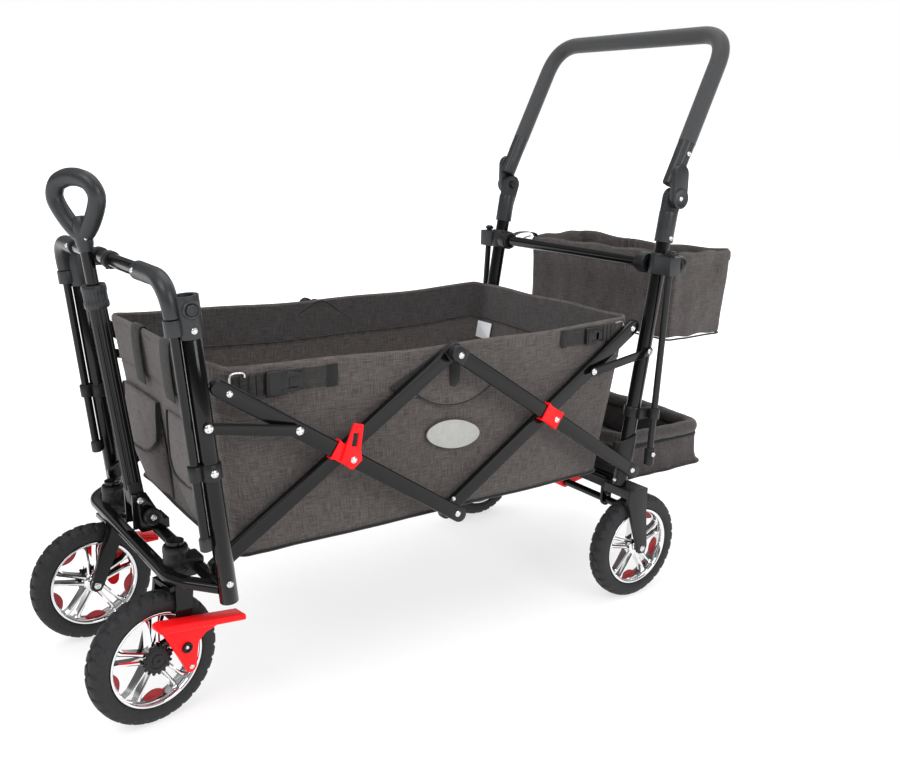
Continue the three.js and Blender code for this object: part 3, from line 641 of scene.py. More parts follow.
def wheels():
    for word, side in SIDES.items():
        for end, fork, cap_x in (("front", f"caster_{word}", -28), ("rear", "rear_frame", 27.5)):
            body = f"{end}_wheel_{word}"
            joint = JOINTS[body + "_spin"]
            axle = Vector(joint["axis"])
            axle = axle if axle.x * side > 0 else -axle
            matrix = Matrix.Translation(joint["pos_m"]) @ Matrix.Rotation(atan2(axle.y, axle.x), 4, "Z")
            made = [(tyre(f"{body}_tyre"), "tyre", (f"{end}_tyre_{word}",)),
                    (rim(f"{body}_rim"), "chrome", (f"{end}_rim_{word}",)),
                    (red_inserts(f"{body}_inserts"), "red_plastic", ())]
            if end == "front":
                made.append((hub_gear(f"{body}_gear"), "plastic", ()))
            for piece, slot, nodes in made:
                piece.data.transform(matrix)
                settle(piece, body, slot, *nodes)
            rivet_head(fork, matrix @ Vector((cap_x * MM, 0, 0)), matrix.to_3x3() @ Vector((copysign(1, cap_x), 0, 0)),
                       6)


# ---- tubes and blocks ----
def straight(name, body, low, high, r, surface, node_name, sides=36, hollow=None):
    """A straight tube; hollow gives the bore seen in its ends."""
    if hollow:
        direction = (high - low).normalized()
        side = direction.orthogonal().normalized()
        up = direction.cross(side)
        deep, edge = direction * 25 * MM, direction * 0.0005
        stations = ((low + deep, hollow), (low, hollow), (low, r - 0.5), (low + edge, r), (high - edge, r),
                    (high, r - 0.5), (high, hollow), (high - deep, hollow))
        rings = [[place + (side * c + up * s) * radius * MM for c, s in circle(1, sides)]
                 for place, radius in stations]
        obj = skinned(name, rings, surface, 50, caps=True)
    else:
        obj = swept(name, [low, high], ring_section(r, sides), surface)
    return settle(obj, body, "frame", node_name)


def collar(name, body, centre, direction, profile, surface=SATIN, segments=40, nodes=()):
    """A turned piece about any axis: profile of (radius, along) in millimetres."""
    obj = lathe(name, profile, surface, segments)
    turn = Vector((1, 0, 0)).rotation_difference(Vector(direction).normalized())
    obj.data.transform(Matrix.Translation(centre) @ turn.to_matrix().to_4x4())
    return settle(obj, body, "plastic", *nodes)


def clamp_block(name, body, x0, x1, y0, y1, z0, z1, lean, bevel):
    """A moulded block that leans with its tube."""
    shift = lean * (z1 - z0) / 2
    low, high = ([at(x, y + move, z) for x, y in ((x0, y0), (x1, y0), (x1, y1), (x0, y1))]
                 for z, move in ((z0, -shift), (z1, shift)))
    return settle(prism(name, low, high, SATIN, bevel, 3), body, "plastic")


# ---- front frame, front bar and chassis ----
def front_end():
    lean = Vector((0, FRONT_LEAN, 1))
    guide_z = 391
    for word, side in SIDES.items():
        x = side * OUTER_X
        f = (side, 0, 0)
        straight(f"front_tube_{word}", "front_frame", at(x, front_y(207), 207), at(x, front_y(FRONT_TOP_Z), FRONT_TOP_Z),
                 UPRIGHT_R, GLOSS, f"front_upright_{word}", hollow=11.2)
        straight(f"front_slide_{word}", "front_bar", at(x, rod_y(297), 297), at(x, rod_y(FRONT_TOP_Z), FRONT_TOP_Z), 6.5,
                 GLOSS, f"front_rod_{word}", sides=24)
        collar(f"rod_foot_{word}", "front_bar", at(x, rod_y(290), 290), lean,
               [(0, 0), (7.6, 0), (8.8, 1.2), (8.8, 17), (7.8, 19), (6.6, 19.5), (6.4, 19.5)], RUBBER)
        collar(f"slide_guide_{word}", "front_frame", at(x, front_y(guide_z), guide_z), lean,
               [(13.1, 0), (14.6, 0), (15.6, 1.2), (15.6, 22), (14.6, 23.2), (13.1, 23.2)])
        collar(f"slide_eye_{word}", "front_frame", at(x, rod_y(guide_z + 1), guide_z + 1), lean,
               [(6.9, 0), (9.4, 0), (10.2, 1), (10.2, 20), (9.4, 21), (6.9, 21), (6.9, 0)])
        for stand, z, r in ((15.4, 402, 5.5), (13, 238, 5), (17.2, 597, 4.5)):
            rivet("front_frame", side * (OUTER_X + stand), front_y(z), z, f, r)
        refined(f"front_cap_{word}", RUBBER, 1.2, 3)
        place = at(side * (OUTER_X + 14), front_y(624), 624)
        collar(f"cap_ring_{word}", "front_frame", place, f,
               [(8.4, 0), (12.4, 0), (12.4, 3.6), (11.4, 4.8), (9.6, 4.8), (8.4, 3.8), (8.4, 0)], RUBBER)
        button = f"front_cap_button_{word}"
        collar(f"cap_button_{word}", button, place, f,
               [(0, 0), (7.4, 0), (7.4, 5), (6.4, 6), (4.6, 6), (4.2, 5.2), (0, 5.2)], RUBBER, nodes=(button,))

    y, z = rod_y(FRONT_BAR_Z), FRONT_BAR_Z
    bar = swept("front_cross_tube", [at(-152, y, z), at(152, y, z)], ring_section(BAR_R, 32), GLOSS)
    settle(bar, "front_bar", "plastic")

    def section(share):
        swell = 1 + 0.10 * exp(-((share - 0.97) / 0.035) ** 2)
        slim = 1 - 0.16 * max(0, 1 - share / 0.28)
        return ring_section(12.6 * swell * slim, 32)
    elbows = []
    for side in SIDES.values():
        places = rounded([at(side * OUTER_X, rod_y(613), 612.8), at(side * OUTER_X, y, z), at(side * 148, y, z)], 46, 16)
        elbows.append(swept("elbow", places, section, RUBBER))
        rivet("front_bar", side * 158, y - 12.8, 663, (0, -1, 0.1), 3.6)
    settle(join("front_elbows", elbows), "front_bar", "plastic", "front_bar")


def chassis():
    end_x, end_y = OUTER_X - 8, -404
    tubes = [swept("cross", [at(-end_x, end_y, 226), at(end_x, end_y, 226)], ring_section(BAR_R, 28), GLOSS)]
    path = rounded([at(-end_x, end_y, 226), at(-end_x + 55, -454, 228), at(end_x - 55, -454, 228),
                    at(end_x, end_y, 226)], 30, 10)
    flat = [(7.5 * MM * copysign(abs(c) ** 0.7, c), 11 * MM * copysign(abs(s) ** 0.7, s)) for c, s in circle(1, 32)]
    tubes.append(swept("bumper", path, flat, GLOSS, aim=Vector((0, 0, 1))))
    settle(join("chassis_tubes", tubes), "front_frame", "frame", "front_chassis")
    for word, side in SIDES.items():
        x, y = side * STEM[0], STEM[1]
        collar(f"caster_socket_{word}", "front_frame", at(x, y, 211.5), (0, 0, 1),
               [(8.6, 0), (17, 0), (18.6, 1.5), (18.6, 12), (20.4, 14), (20.4, 18), (18.6, 20), (17.8, 38), (18.4, 40),
                (18.4, 47), (17, 50), (8.6, 50), (8.6, 0)])
        clamp_block(f"socket_block_{word}", "front_frame", x - 17, x + 17, -447, -396, 214, 243, 0, 4)


# ---- casters ----
def caster_matrix(word):
    """From the caster's own frame, stem at the origin and wheel ahead, to the wagon."""
    stem = JOINTS[f"caster_{word}_swivel"]["pos_m"]
    wheel = JOINTS[f"front_wheel_{word}_spin"]["pos_m"]
    yaw = atan2(wheel[1] - stem[1], wheel[0] - stem[0]) + pi / 2
    return Matrix.Translation((stem[0], stem[1], 0)) @ Matrix.Rotation(yaw, 4, "Z")


def caster(word, side):
    refined(f"caster_fork_{word}", GLOSS, 1.6, 3)
    matrix = caster_matrix(word)
    body = f"front_pedal_{word}"
    inner = 24.3
    top = [(-57, 158), (-52, 156), (-30, 152), (84, 131.5), (84, 140), (80, 143), (-50, 168), (-57, 166)]
    web = [(-52, 158), (-36, 134), (-9, 76), (-5, 70.5), (0, 69), (5, 70.5), (9, 76), (12, 100), (14, 113), (26, 124),
           (60, 132), (84, 131.5), (84, 140), (-50, 166)]
    lip = [(-50, 158), (-12, 84), (-6, 84), (-40, 154), (80, 133), (80, 137), (-46, 160)]

    def slab(outline, x0, x1, bevel):
        near, far = ([Vector((side * (inner + x), y, z)) * MM for y, z in outline] for x in (x0, x1))
        return prism("slab", near, far, RED, bevel, 3)

    pieces = [slab(top, 0, 26, 2.6), slab(web, 0, 6, 1.6), slab(lip, 4, 11, 1.2)]
    for i in range(12):
        y = -44 + i * 10.5
        z = 166.2 - (y + 50) * 25 / 130
        pieces.append(slab([(y - 1.4, z - 1), (y + 1.4, z - 1.5), (y + 1.0, z + 1.6), (y - 1.0, z + 1.9)], 3, 23, 0.5))
    obj = join(f"pedal_{word}", pieces)
    obj.data.transform(matrix)
    settle(obj, body, "red_plastic", body)
    facing = matrix.to_3x3() @ Vector((side, 0, 0))
    ring = lathe(f"pedal_eye_{word}", [(4.6, 0), (8.2, 0), (8.2, 2.6), (7.2, 3.6), (5.4, 3.6), (4.6, 2.6), (4.6, 0)],
                 SATIN, 32)
    turn = Matrix.Rotation(atan2(facing.y, facing.x), 4, "Z")
    ring.data.transform(Matrix.Translation(matrix @ (Vector((side * (inner + 6), -6, 112)) * MM)) @ turn)
    settle(ring, body, "plastic")
    for y, z, r in ((-6, 112, 3.8), (0, 79, 4.2)):
        rivet_head(body, matrix @ (Vector((side * (inner + 6.4), y, z)) * MM), facing, r)


# ---- pull handle ----
def pull_handle():
    stand = Matrix.Translation(at(0, *HANDLE_PIVOT)) @ Matrix.Rotation(-atan(HANDLE_LEAN), 4, "X")

    def place(obj, body, slot, *nodes):
        obj.data.transform(stand)
        settle(obj, body, slot, *nodes)

    def upright(*heights):
        return [Vector((0, 0, z * MM)) for z in heights]
    flutes = []
    for k in range(96):
        a = 2 * pi * k / 96
        r = 13.4 - 1.1 * max(0, cos(12 * a)) ** 0.5
        flutes.append((r * MM * cos(a), r * MM * sin(a)))
    place(swept("handle_outer", upright(14, 60, 140, 220, 306), flutes, GLOSS, smooth=25, aim=Vector((1, 0, 0))),
          "pull_handle", "frame", "handle_outer_tube")
    knuckle = [(-13, -12), (13, -12), (15, -6), (15, 12), (13.6, 26), (-13.6, 26), (-15, 12), (-15, -6)]
    near, far = ([Vector((x, y, z)) * MM for x, z in knuckle] for y in (-11, 11))
    place(prism("handle_foot", near, far, SATIN, 2.5, 3), "pull_handle", "plastic")
    knurl = [(9.9, 300), (17, 301), (18, 303), (18, 309), (17.2, 311), (17.2, 324), (18, 326), (18, 332), (16.6, 335),
             (12, 335), (9.9, 334)]
    rings = []
    for i in range(160):
        a = 2 * pi * i / 160
        wave = 0.7 * max(0, sin(20 * a))
        rings.append([Vector((cos(a) * radius, sin(a) * radius, z)) * MM for radius, z in
                      ((r - (wave if 303 < z < 332 else 0), z) for r, z in knurl)])
    place(skinned("handle_collar", rings, RUBBER, 35, along=True), "pull_handle", "plastic")
    place(swept("handle_inner", upright(42, 384), ring_section(9, 28), GLOSS), "handle_inner", "frame",
          "handle_inner_tube")
    low, w = 383.5, 40.0
    half = [(0.42, 36), (0.86, 62), (0.98, 80), (0.76, 96), (0.38, 103)]
    knots = [(0, 24)] + [(-w * x, z) for x, z in half] + [(0, 105)] + [(w * x, z) for x, z in half[::-1]]
    loop = smooth_line([Vector((x, 0, low + z)) * MM for x, z in knots], 9, closed=True)

    def section(share):
        high = max(0, cos((share - 0.5) * 2 * pi))
        return [(x * (1.0 - 0.10 * high), y * (1 + 0.04 * high)) for x, y in ring_section(12.4, 28)]
    grip = swept("grip_loop", loop, section, RUBBER, closed=True, smooth=80, aim=Vector((0, 1, 0)))
    neck = lathe("grip_neck", [(0, 0), (10.6, 0), (11.4, 1), (11.6, 6), (13.2, 9), (14.2, 22), (14.6, 32), (12.5, 44),
                               (8, 50), (0, 51)], RUBBER, 40, 60)
    neck.data.transform(Matrix.Translation((0, 0, low * MM)) @ Matrix.Rotation(-pi / 2, 4, "Y"))
    neck.data.transform(Matrix.Diagonal((1.0, 0.86, 1.0, 1.0)))
    whole = join("handle_grip_look", [grip, neck])
    whole.data.transform(Matrix.Rotation(radians(GRIP_YAW), 4, "Z"))
    place(whole, "handle_inner", "grip", "handle_grip")
    for side in (1, -1):
        rivet_head("handle_inner", stand @ (Vector((side * 13.2, 0, low + 20)) * MM), Vector((side, 0, 0)), 3.4)
    refined("handle_base_bracket", GLOSS, 1.2, 3)
    collar("base_knob", "front_frame", at(22, -424, 262), (1, 0, 0),
           [(0, 0), (12, 0), (13.6, 1.6), (13.6, 8), (12, 10), (7.4, 10), (6.6, 8.6), (0, 8.6)])
    rivet("front_frame", 32.0, -424, 262, (1, 0, 0), 5)
    for side in (1, -1):
        rivet("front_frame", side * 26, *HANDLE_PIVOT, (side, 0, 0), 5.4)
    # the spring clip on the cross tube that holds the folded handle
    y = rod_y(FRONT_BAR_Z)
    pieces = []
    for x in (-26, 26):
        ring = lathe("clip_ring", [(10.1, -7), (12.6, -7), (13.2, -5.8), (13.2, 5.8), (12.6, 7), (10.1, 7), (10.1, -7)],
                     RUBBER, 36)
        ring.data.transform(Matrix.Translation(at(x, y, FRONT_BAR_Z)))
        pieces.append(ring)
    path = [at(24 * sin(a), y - 4 + 20 * cos(a) * 0.9, 652) for a in (radians(d) for d in range(-100, 101, 10))]
    pieces.append(swept("clip_hook", path, flat_section(9, 3.2, 1.2), RUBBER, aim=Vector((0, 0, 1))))
    settle(join("handle_clip", pieces), "front_bar", "plastic")


# ---- scissor ----
def links():
    face, inner = OUTER_X + LINK_T / 2, INNER_X + 5.8
    mid_y, mid_z = FRONT_PIVOT_Y + HALF_Y, LOW_PIVOT_Z + HALF_Z
    rear_mid_y = MID_PIVOT_Y + HALF_Y
    front_low, front_high = (FRONT_PIVOT_Y, LOW_PIVOT_Z), (FRONT_PIVOT_Y, HIGH_PIVOT_Z)
    mid_low, mid_high = (MID_PIVOT_Y, LOW_PIVOT_Z), (MID_PIVOT_Y, HIGH_PIVOT_Z)
    rear_low, rear_high = (REAR_PIVOT_Y, LOW_PIVOT_Z), (REAR_PIVOT_Y, HIGH_PIVOT_Z)
    for word, side in SIDES.items():
        for letter in "abcd":
            refined(f"link_{letter}_{word}", GLOSS, 2.4, 4)
        for name in ("front_strap", "rear_strap"):
            refined(f"{name}_{word}", GLOSS, 0.9)
        refined(f"fold_lever_{word}", RED, 1.0, 3)
        for body, x, y, z, r in (
                ("link_a", face - 0.4, FRONT_PIVOT_Y + 14, HIGH_PIVOT_Z - 9.5, 5),
                ("link_a", face - 0.2, *mid_low, 5.5),
                ("link_d", inner, MID_PIVOT_Y + 7, LOW_PIVOT_Z + 17, 4),
                ("link_c", face - 0.2, *mid_high, 5.5), ("link_c", face - 0.2, *rear_low, 5.5),
                ("link_d", inner, *rear_high, 5.5),
                ("front_straps", 270, front_y(466), 466, 6.2), ("front_straps", 270, -291.3, 442.3, 6.2),
                ("rear_straps", 246, rear_y(471), 471, 5.6), ("rear_straps", 246, 284.9, 450, 6),
                (f"fold_lever_{word}", face + 4.9, mid_y + 3, mid_z - 3, 5.4),
                ("link_c", face + 2.3, rear_mid_y + 4, mid_z - 3, 5.4)):
            rivet(body, side * x, y, z, (side, 0, 0), r)
        wrap(f"fold_wrap_{word}", "link_a", side, mid_y - 9, mid_z + 6, 40, 1.6)
        wrap(f"link_clip_{word}", "link_c", side, rear_mid_y - 6, mid_z + 4, 38, 2.4)
        for tag, letter, plane, place, toward in (
                ("c", "c", OUTER_X, mid_high, rear_low), ("a", "a", OUTER_X, mid_low, front_high),
                ("b", "b", INNER_X, mid_high, front_low), ("d", "d", INNER_X, mid_low, rear_high),
                ("e", "c", OUTER_X, rear_low, mid_high)):
            end_cap(f"cap_{tag}_{word}", f"link_{letter}", side, plane, Vector(place), Vector(toward))


def end_cap(name, body, side, plane, place, toward):
    """The moulded plug that closes the end of a link."""
    run = (toward - place).normalized()
    start, end = place - run * 5.4, place + run * 13
    keep = [p for p in stadium(*start, *end, 12.5) if (Vector(p) - end).dot(run) < 0.6]
    settle(plate(name, keep, side * (plane - 6.5), side * (plane + 6.5), SATIN, 2.2), body, "plastic")


def wrap(name, body, side, y, z, length, thick):
    """A red saddle folded over a link of the falling diagonal."""
    angle = -LINK_ANGLE
    half_h, half_t = 12 + thick, 6 + thick
    section = [(-half_h, half_t), (half_h, half_t), (half_h, -half_t * 0.6), (12.1, -half_t * 0.6), (12.1, 6.1),
               (-12.1, 6.1), (-12.1, -half_t * 0.6), (-half_h, -half_t * 0.6)]
    rings = []
    for run, grow in ((-length / 2, 2), (-length / 2 + 7, 0), (length / 2 - 7, 0), (length / 2, 2)):
        ring = []
        for across, out in section:
            h = across + copysign(grow, across) * (abs(across) > 12.2)
            o = out + (grow if out > 6.2 else 0) * 0.6
            ring.append(at(side * (OUTER_X + o), y + run * cos(angle) - h * sin(angle),
                           z + run * sin(angle) + h * cos(angle)))
        rings.append(ring)
    settle(bevelled(skinned(name, rings, RED, caps=True), 0.8), body, "red_plastic")


# ---- rear frame ----
def rear_end():
    f_lean, rod_lean = (0, REAR_LEAN, 1), (0, ROD_LEAN, 1)
    clip_z = 358
    for word, side in SIDES.items():
        x, rx = side * INNER_X, side * REAR_ROD_X
        f = (side, 0, 0)
        body = f"rear_rod_{word}"
        straight(f"rear_tube_{word}", "rear_frame", at(x, rear_y(221), 221), at(x, rear_y(702), 702), UPRIGHT_R, GLOSS,
                 f"rear_upright_{word}")
        straight(f"rear_slide_{word}", body, at(rx, rear_rod_y(268), 268), at(rx, rear_rod_y(652), 652), 6.0, SATIN,
                 body, sides=24)
        collar(f"rod_head_{word}", body, at(rx, rear_rod_y(645), 645), rod_lean,
               [(0, 0), (8, 0), (8.6, 0.8), (8.6, 4), (7.6, 5), (0, 5)])
        refined(f"rear_bracket_{word}", RUBBER, 1.6, 3)
        refined(f"rear_fork_{word}", SATIN, 1.8, 3)
        push_knuckle(word, side)
        # knob, guide clip, foot bracket and rod clip down the outside of the upright
        collar(f"bracket_knob_{word}", "rear_frame", at(side * 257, rear_rod_y(626) + 12, 627), (0, 1, 0),
               [(0, 0), (10, 0), (10, 7), (14, 8), (15, 10), (15, 19), (13.4, 21.5), (8, 22), (7, 20.6), (0, 20.6)])
        for z in (636, 616):
            rivet("rear_frame", side * (INNER_X + 17.6), rear_y(z) - 3, z, f, 4.6)
        collar(f"clip_ring_{word}", "rear_frame", at(x, rear_y(clip_z - 9), clip_z - 9), f_lean,
               [(13.1, 0), (15.6, 0), (16.4, 1.2), (16.4, 18), (15.6, 19), (13.1, 19)])
        collar(f"clip_eye_{word}", "rear_frame", at(rx, rear_rod_y(clip_z - 9), clip_z - 9), rod_lean,
               [(6.9, 0), (9.4, 0), (10, 1), (10, 18), (9.4, 19), (6.9, 19), (6.9, 0)])
        clamp_block(f"clip_web_{word}", "rear_frame", side * (INNER_X + 12), side * 254.5, rear_y(clip_z) - 6,
                    rear_rod_y(clip_z) + 7, clip_z - 9, clip_z + 9, 0.1, 2)
        rivet("rear_frame", side * (INNER_X + 16.6), rear_y(clip_z), clip_z, f, 5)
        foot_bracket(word, side)
        collar(f"rod_boot_{word}", body, at(rx, rear_rod_y(262), 262), rod_lean,
               [(0, 0), (8.2, 0), (9.4, 1.4), (9.4, 30), (8, 32), (6.2, 32)])
        rivet(body, side * 271.4, rear_rod_y(283), 283, f, 4.6)
        collar(f"bar_disc_{word}", "rear_frame", at(side * 186, rear_y(REAR_BAR_Z) - 6, REAR_BAR_Z), f,
               [(9.6, 0), (15, 0), (16.4, 1.6), (16.4, 5), (18.4, 6.4), (18.4, 23), (17, 25.4), (9.6, 25.4)],
               segments=48)
        rivet("rear_frame", side * 229, rear_y(232) - 13.2, 232, (0, -1, 0), 4)
    edge, y, z = INNER_X - 19, rear_y(REAR_BAR_Z) - 6, REAR_BAR_Z
    bar = swept("rear_cross_tube", [at(-edge, y, z), at(edge, y, z)], ring_section(BAR_R, 32), GLOSS)
    settle(bar, "rear_frame", "frame", "rear_crossbar")
    refined("rear_axle_beam", GLOSS, 1.6, 3)
    for y in (384, 396, 408):
        clamp_block("rib", "rear_frame", -190, 190, y - 2, y + 2, 219.5, 223, 0, 0.8)
    bar = swept("brake_tube", [at(-219, 398, 172), at(219, 398, 172)], ring_section(7, 28), GLOSS)
    settle(bar, "rear_brake", "frame", "rear_brake_bar")
    refined("rear_brake_pedal", RED, 1.4, 3)


def foot_bracket(word, side):
    """The curved moulded plate that ties the upright's foot to the fork crown."""
    rings = []
    for i in range(17):
        a = radians(-100 + 200 * i / 16)
        row = []
        for r, z in ((13.4, 262), (17.2, 262), (17.2, 318), (13.4, 318)):
            drop = 12 * max(0, sin(a)) if z > 300 else 0
            row.append(at(side * (INNER_X + r * cos(a)), rear_y(z) - 1 - r * sin(a) * (2.0 if a > 0 else 1.0), z - drop))
        rings.append(row)
    settle(bevelled(skinned(f"foot_bracket_{word}", rings, SATIN, caps=True), 1.0), "rear_frame", "plastic")


def oval(rx, ry, depth):
    """An oval section with eight shallow lengthwise ridges."""
    points = []
    for k in range(72):
        a = 2 * pi * k / 72
        cut = 1 - depth * max(0, cos(8 * a)) ** 2
        points.append((rx * cut * MM * cos(a), ry * cut * MM * sin(a)))
    return points


def push_knuckle(word, side):
    x = side * INNER_X
    f = (side, 0, 0)
    sleeve = swept(f"knuckle_sleeve_{word}", [at(x, rear_y(z), z) for z in (664, 668, 690, 713, 717)],
                   lambda share: oval(16.2 - 1.0 * (share < 0.02 or share > 0.98), 16.6, 0.045), RUBBER, smooth=30,
                   aim=Vector((1, 0, 0)))
    settle(sleeve, "rear_frame", "plastic")
    refined(f"push_knuckle_{word}", RUBBER, 1.6, 3)
    button = f"push_button_{word}"
    collar(f"knuckle_button_{word}", button, at(side * (INNER_X - 5.5), *PUSH_PIVOT), (-side, 0, 0),
           [(0, 0), (7.6, 0), (7.6, 5), (6.6, 6.6), (4.4, 6.9), (0, 6.9)], nodes=(button,))
    rivet("rear_frame", side * (INNER_X + 16.2), rear_y(672), 672, f, 4.4)
    rivet("push_bar", side * (INNER_X + 19.8), *PUSH_PIVOT, f, 4.6)
    rivet("push_bar", side * (INNER_X + 14.6), push_y(818), 818, f, 4.4)


def push_bar():
    foam_z = 836
    corner = at(INNER_X - 2, push_y(PUSH_TOP_Z), PUSH_TOP_Z)
    foot = at(INNER_X, push_y(foam_z), foam_z)
    flip = Vector((-1, 1, 1))
    path = rounded([foot, corner, corner * flip, foot * flip], 62, 20)
    dense = []
    for a, b in zip(path, path[1:]):
        dense += [a.lerp(b, k / 6) for k in range(6)] if (b - a).length > 0.05 else [a]
    foam = swept("push_foam", dense + [path[-1]], ring_section(15.4, 40), FOAM, smooth=60)
    settle(foam, "push_bar", "foam", "push_bar")
    cheeks = []
    for side in SIDES.values():
        x = side * INNER_X
        cheeks.append(swept("sleeve", [at(x, push_y(z), z) for z in (764, 768, 800, 832, foam_z + 2)],
                            lambda share: oval(14.8 - 1.5 * (share < 0.04), 15.4, 0.05), RUBBER, smooth=30,
                            aim=Vector((1, 0, 0))))
        run = stadium(*PUSH_PIVOT, push_y(782), 782, 17.6)
        cheeks.append(plate("cheek", run, side * (INNER_X + 7.4), side * (INNER_X + 19), RUBBER, 1.6))
        disc = lathe("disc", [(0, 0), (17.8, 0), (18, 0.8), (18, 2.2), (16.8, 3.2), (14.6, 3.2), (13.8, 2.6),
                              (6, 2.6), (5.4, 2), (0, 2)], RUBBER, 56)
        disc.data.transform(Matrix.Translation(at(side * (INNER_X + 18), *PUSH_PIVOT))
                            @ Matrix.Rotation(0 if side > 0 else pi, 4, "Z"))
        cheeks.append(disc)
    settle(join("push_legs", cheeks), "push_bar", "plastic")


# ---- sewn goods ----
WALL_X = 218.6


def gather(piece):
    """Gives a piece on the tub its own copy of its mesh."""
    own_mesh(piece)


def sewn(piece, slot="fabric", *nodes):
    """A piece sewn to the tub."""
    gather(settle(piece, "front_frame", slot, *nodes))


def ring_places(half_x, y0, y1, corner, across, along, turn=7):
    """Places and outward directions around a rounded rectangle, in millimetres, anticlockwise."""
    spots = ((half_x - corner, y1 - corner), (-half_x + corner, y1 - corner),
             (-half_x + corner, y0 + corner), (half_x - corner, y0 + corner))
    ring = []
    for i, (cx, cy) in enumerate(spots):
        for k in range(turn + 1):
            a = radians(90 * i + 90 * k / turn)
            ring.append((cx + corner * cos(a), cy + corner * sin(a), cos(a), sin(a)))
        nx, ny = spots[(i + 1) % 4]
        a = radians(90 * i + 90)
        steps = across if i in (0, 2) else along
        for k in range(1, steps):
            t = k / steps
            ring.append((cx + (nx - cx) * t + corner * cos(a), cy + (ny - cy) * t + corner * sin(a), cos(a), sin(a)))
    return ring


class Bag:
    """An open sewn box: a wall surface that other sewn pieces can be laid on."""

    def __init__(self, low, high, corner, across, along, rim_z, wobble):
        self.low, self.high = low, high
        self.steps = (corner, across, along)
        self.rim_z, self.wobble = rim_z, wobble

    def outline(self, z):
        t = (z - self.low[3]) / (self.high[3] - self.low[3])
        return ring_places(*(a + (b - a) * t for a, b in zip(self.low[:3], self.high[:3])), *self.steps)

    def ring(self, drop=None, z=None, out=0.0):
        """Places at one height, or one distance below the rim, pushed out by a distance."""
        result = []
        for i, (x, y, nx, ny) in enumerate(self.outline(z or self.high[3])):
            height = z if z is not None else self.rim_z(x, y) - drop
            px, py, nx, ny = self.outline(height)[i]
            push = out + self.wobble(px, py, height, nx, ny)
            result.append(Vector((px + nx * push, py + ny * push, height)))
        return result

    def line(self, **where):
        """The same ring in metres, closed, for a row of stitches."""
        ring = self.ring(**where)
        return [at(*p) for p in ring + ring[:1]]


def cloth_box(name, bag, drops, wall, surface, floor_sag):
    """The bag's cloth: outside wall, rolled top edge, inside wall and floor, as one closed skin."""
    bm = bmesh.new()
    layer = bm.loops.layers.uv.new("UVMap")
    floor_z = bag.low[3]
    normals = bag.outline(floor_z)

    def walls(out, share, least):
        return [[Vector((p.x + n[2] * swell * share, p.y + n[3] * swell * share, max(p.z, least)))
                 for p, n in zip(bag.ring(drop=drop, out=out), normals)] for drop, swell in drops]
    outside, inside = walls(0, 1, floor_z), walls(-wall, -0.5, floor_z + wall)
    top = [(p + q) / 2 + Vector((0, 0, 2)) for p, q in zip(outside[0], inside[0])]
    chain = outside[::-1] + [top] + inside
    count = len(top)
    around, runs = [0.0], [0.0]
    for i in range(count):
        around.append(around[-1] + (outside[0][(i + 1) % count] - outside[0][i]).length * MM)
    for a, b in zip(chain, chain[1:]):
        runs.append(runs[-1] + (b[0] - a[0]).length * MM)
    verts = [[bm.verts.new(at(*p)) for p in ring] for ring in chain]
    for r, (low, high) in enumerate(zip(verts, verts[1:])):
        for i in range(count):
            j = (i + 1) % count
            quad(bm, layer, (low[i], low[j], high[j], high[i]), around[i:i + 2], runs[r:r + 2])
    # floors, outside and inside, drawn in towards the middle ring by ring
    for edge_ring in (verts[0], verts[-1]):
        previous = edge_ring
        centre = sum((v.co for v in edge_ring), Vector((0, 0, 0))) / count
        for step in range(1, 9):
            t = 1 - step / 8
            sag = Vector((0, 0, floor_sag * MM * (1 - t * t) * (0.35 + 0.65 * (1 - t))))
            current = [bm.verts.new(centre + (v.co - centre) * t - sag) for v in edge_ring] if step < 8 else None
            tip = None if current else bm.verts.new(centre - sag)
            for i in range(count):
                j = (i + 1) % count
                inner = (current[j], current[i]) if current else (tip,)
                face = bm.faces.new((previous[i], previous[j], *inner))
                for loop in face.loops:
                    loop[layer].uv = (loop.vert.co.x, loop.vert.co.y)
            previous = current
    return new_object(name, bm, surface, 70)


def along_ring(name, places, section, surface, aim=None):
    """A band, cord or seam laid along a bag's ring."""
    return swept(name, [at(*p) for p in places], section, surface, closed=True, smooth=60, aim=aim)


def stitches(name, lines, surface=THREAD, pitch=5.2, length=3.4, r=0.42):
    """Rows of short thread stitches lying along lines of places."""
    bm = bmesh.new()
    pitch, length, r = pitch * MM, length * MM, r * MM
    for points in lines:
        carry = 0.0
        for a, b in zip(points, points[1:]):
            run = (b - a).length
            if run < 1e-7:
                continue
            direction = (b - a).normalized()
            side = direction.cross(Vector((0, 0, 1)))
            side = side.normalized() if side.length > 1e-3 else Vector((1, 0, 0))
            up = side.cross(direction)
            place = carry
            while place + length <= run + 1e-9 or (place < run and run > length):
                ends = (a + direction * place, a + direction * (place + length))
                skin(bm, [[bm.verts.new(end + (side * c + up * s) * r) for c, s in circle(1, 4)] for end in ends],
                     caps=True)
                place += pitch
            carry = max(0.0, place - run)
    return new_object(name, bm, surface, 60)


def slab_on(name, outline, plane, out, thick, surface, axis="x", bevel=0.6, bow=None):
    """A thin sewn or moulded shape standing against a wall; outline in millimetres on that wall."""
    near, far = [], []
    for a, z in outline:
        for store, depth in ((near, 0), (far, thick)):
            d = plane + copysign(1, out) * (depth + (bow(a, z) if bow else 0))
            store.append(at(d, a, z) if axis == "x" else at(a, d, z))
    return prism(name, near, far, surface, bevel, uv=lambda co: (co.x + co.y, co.z))


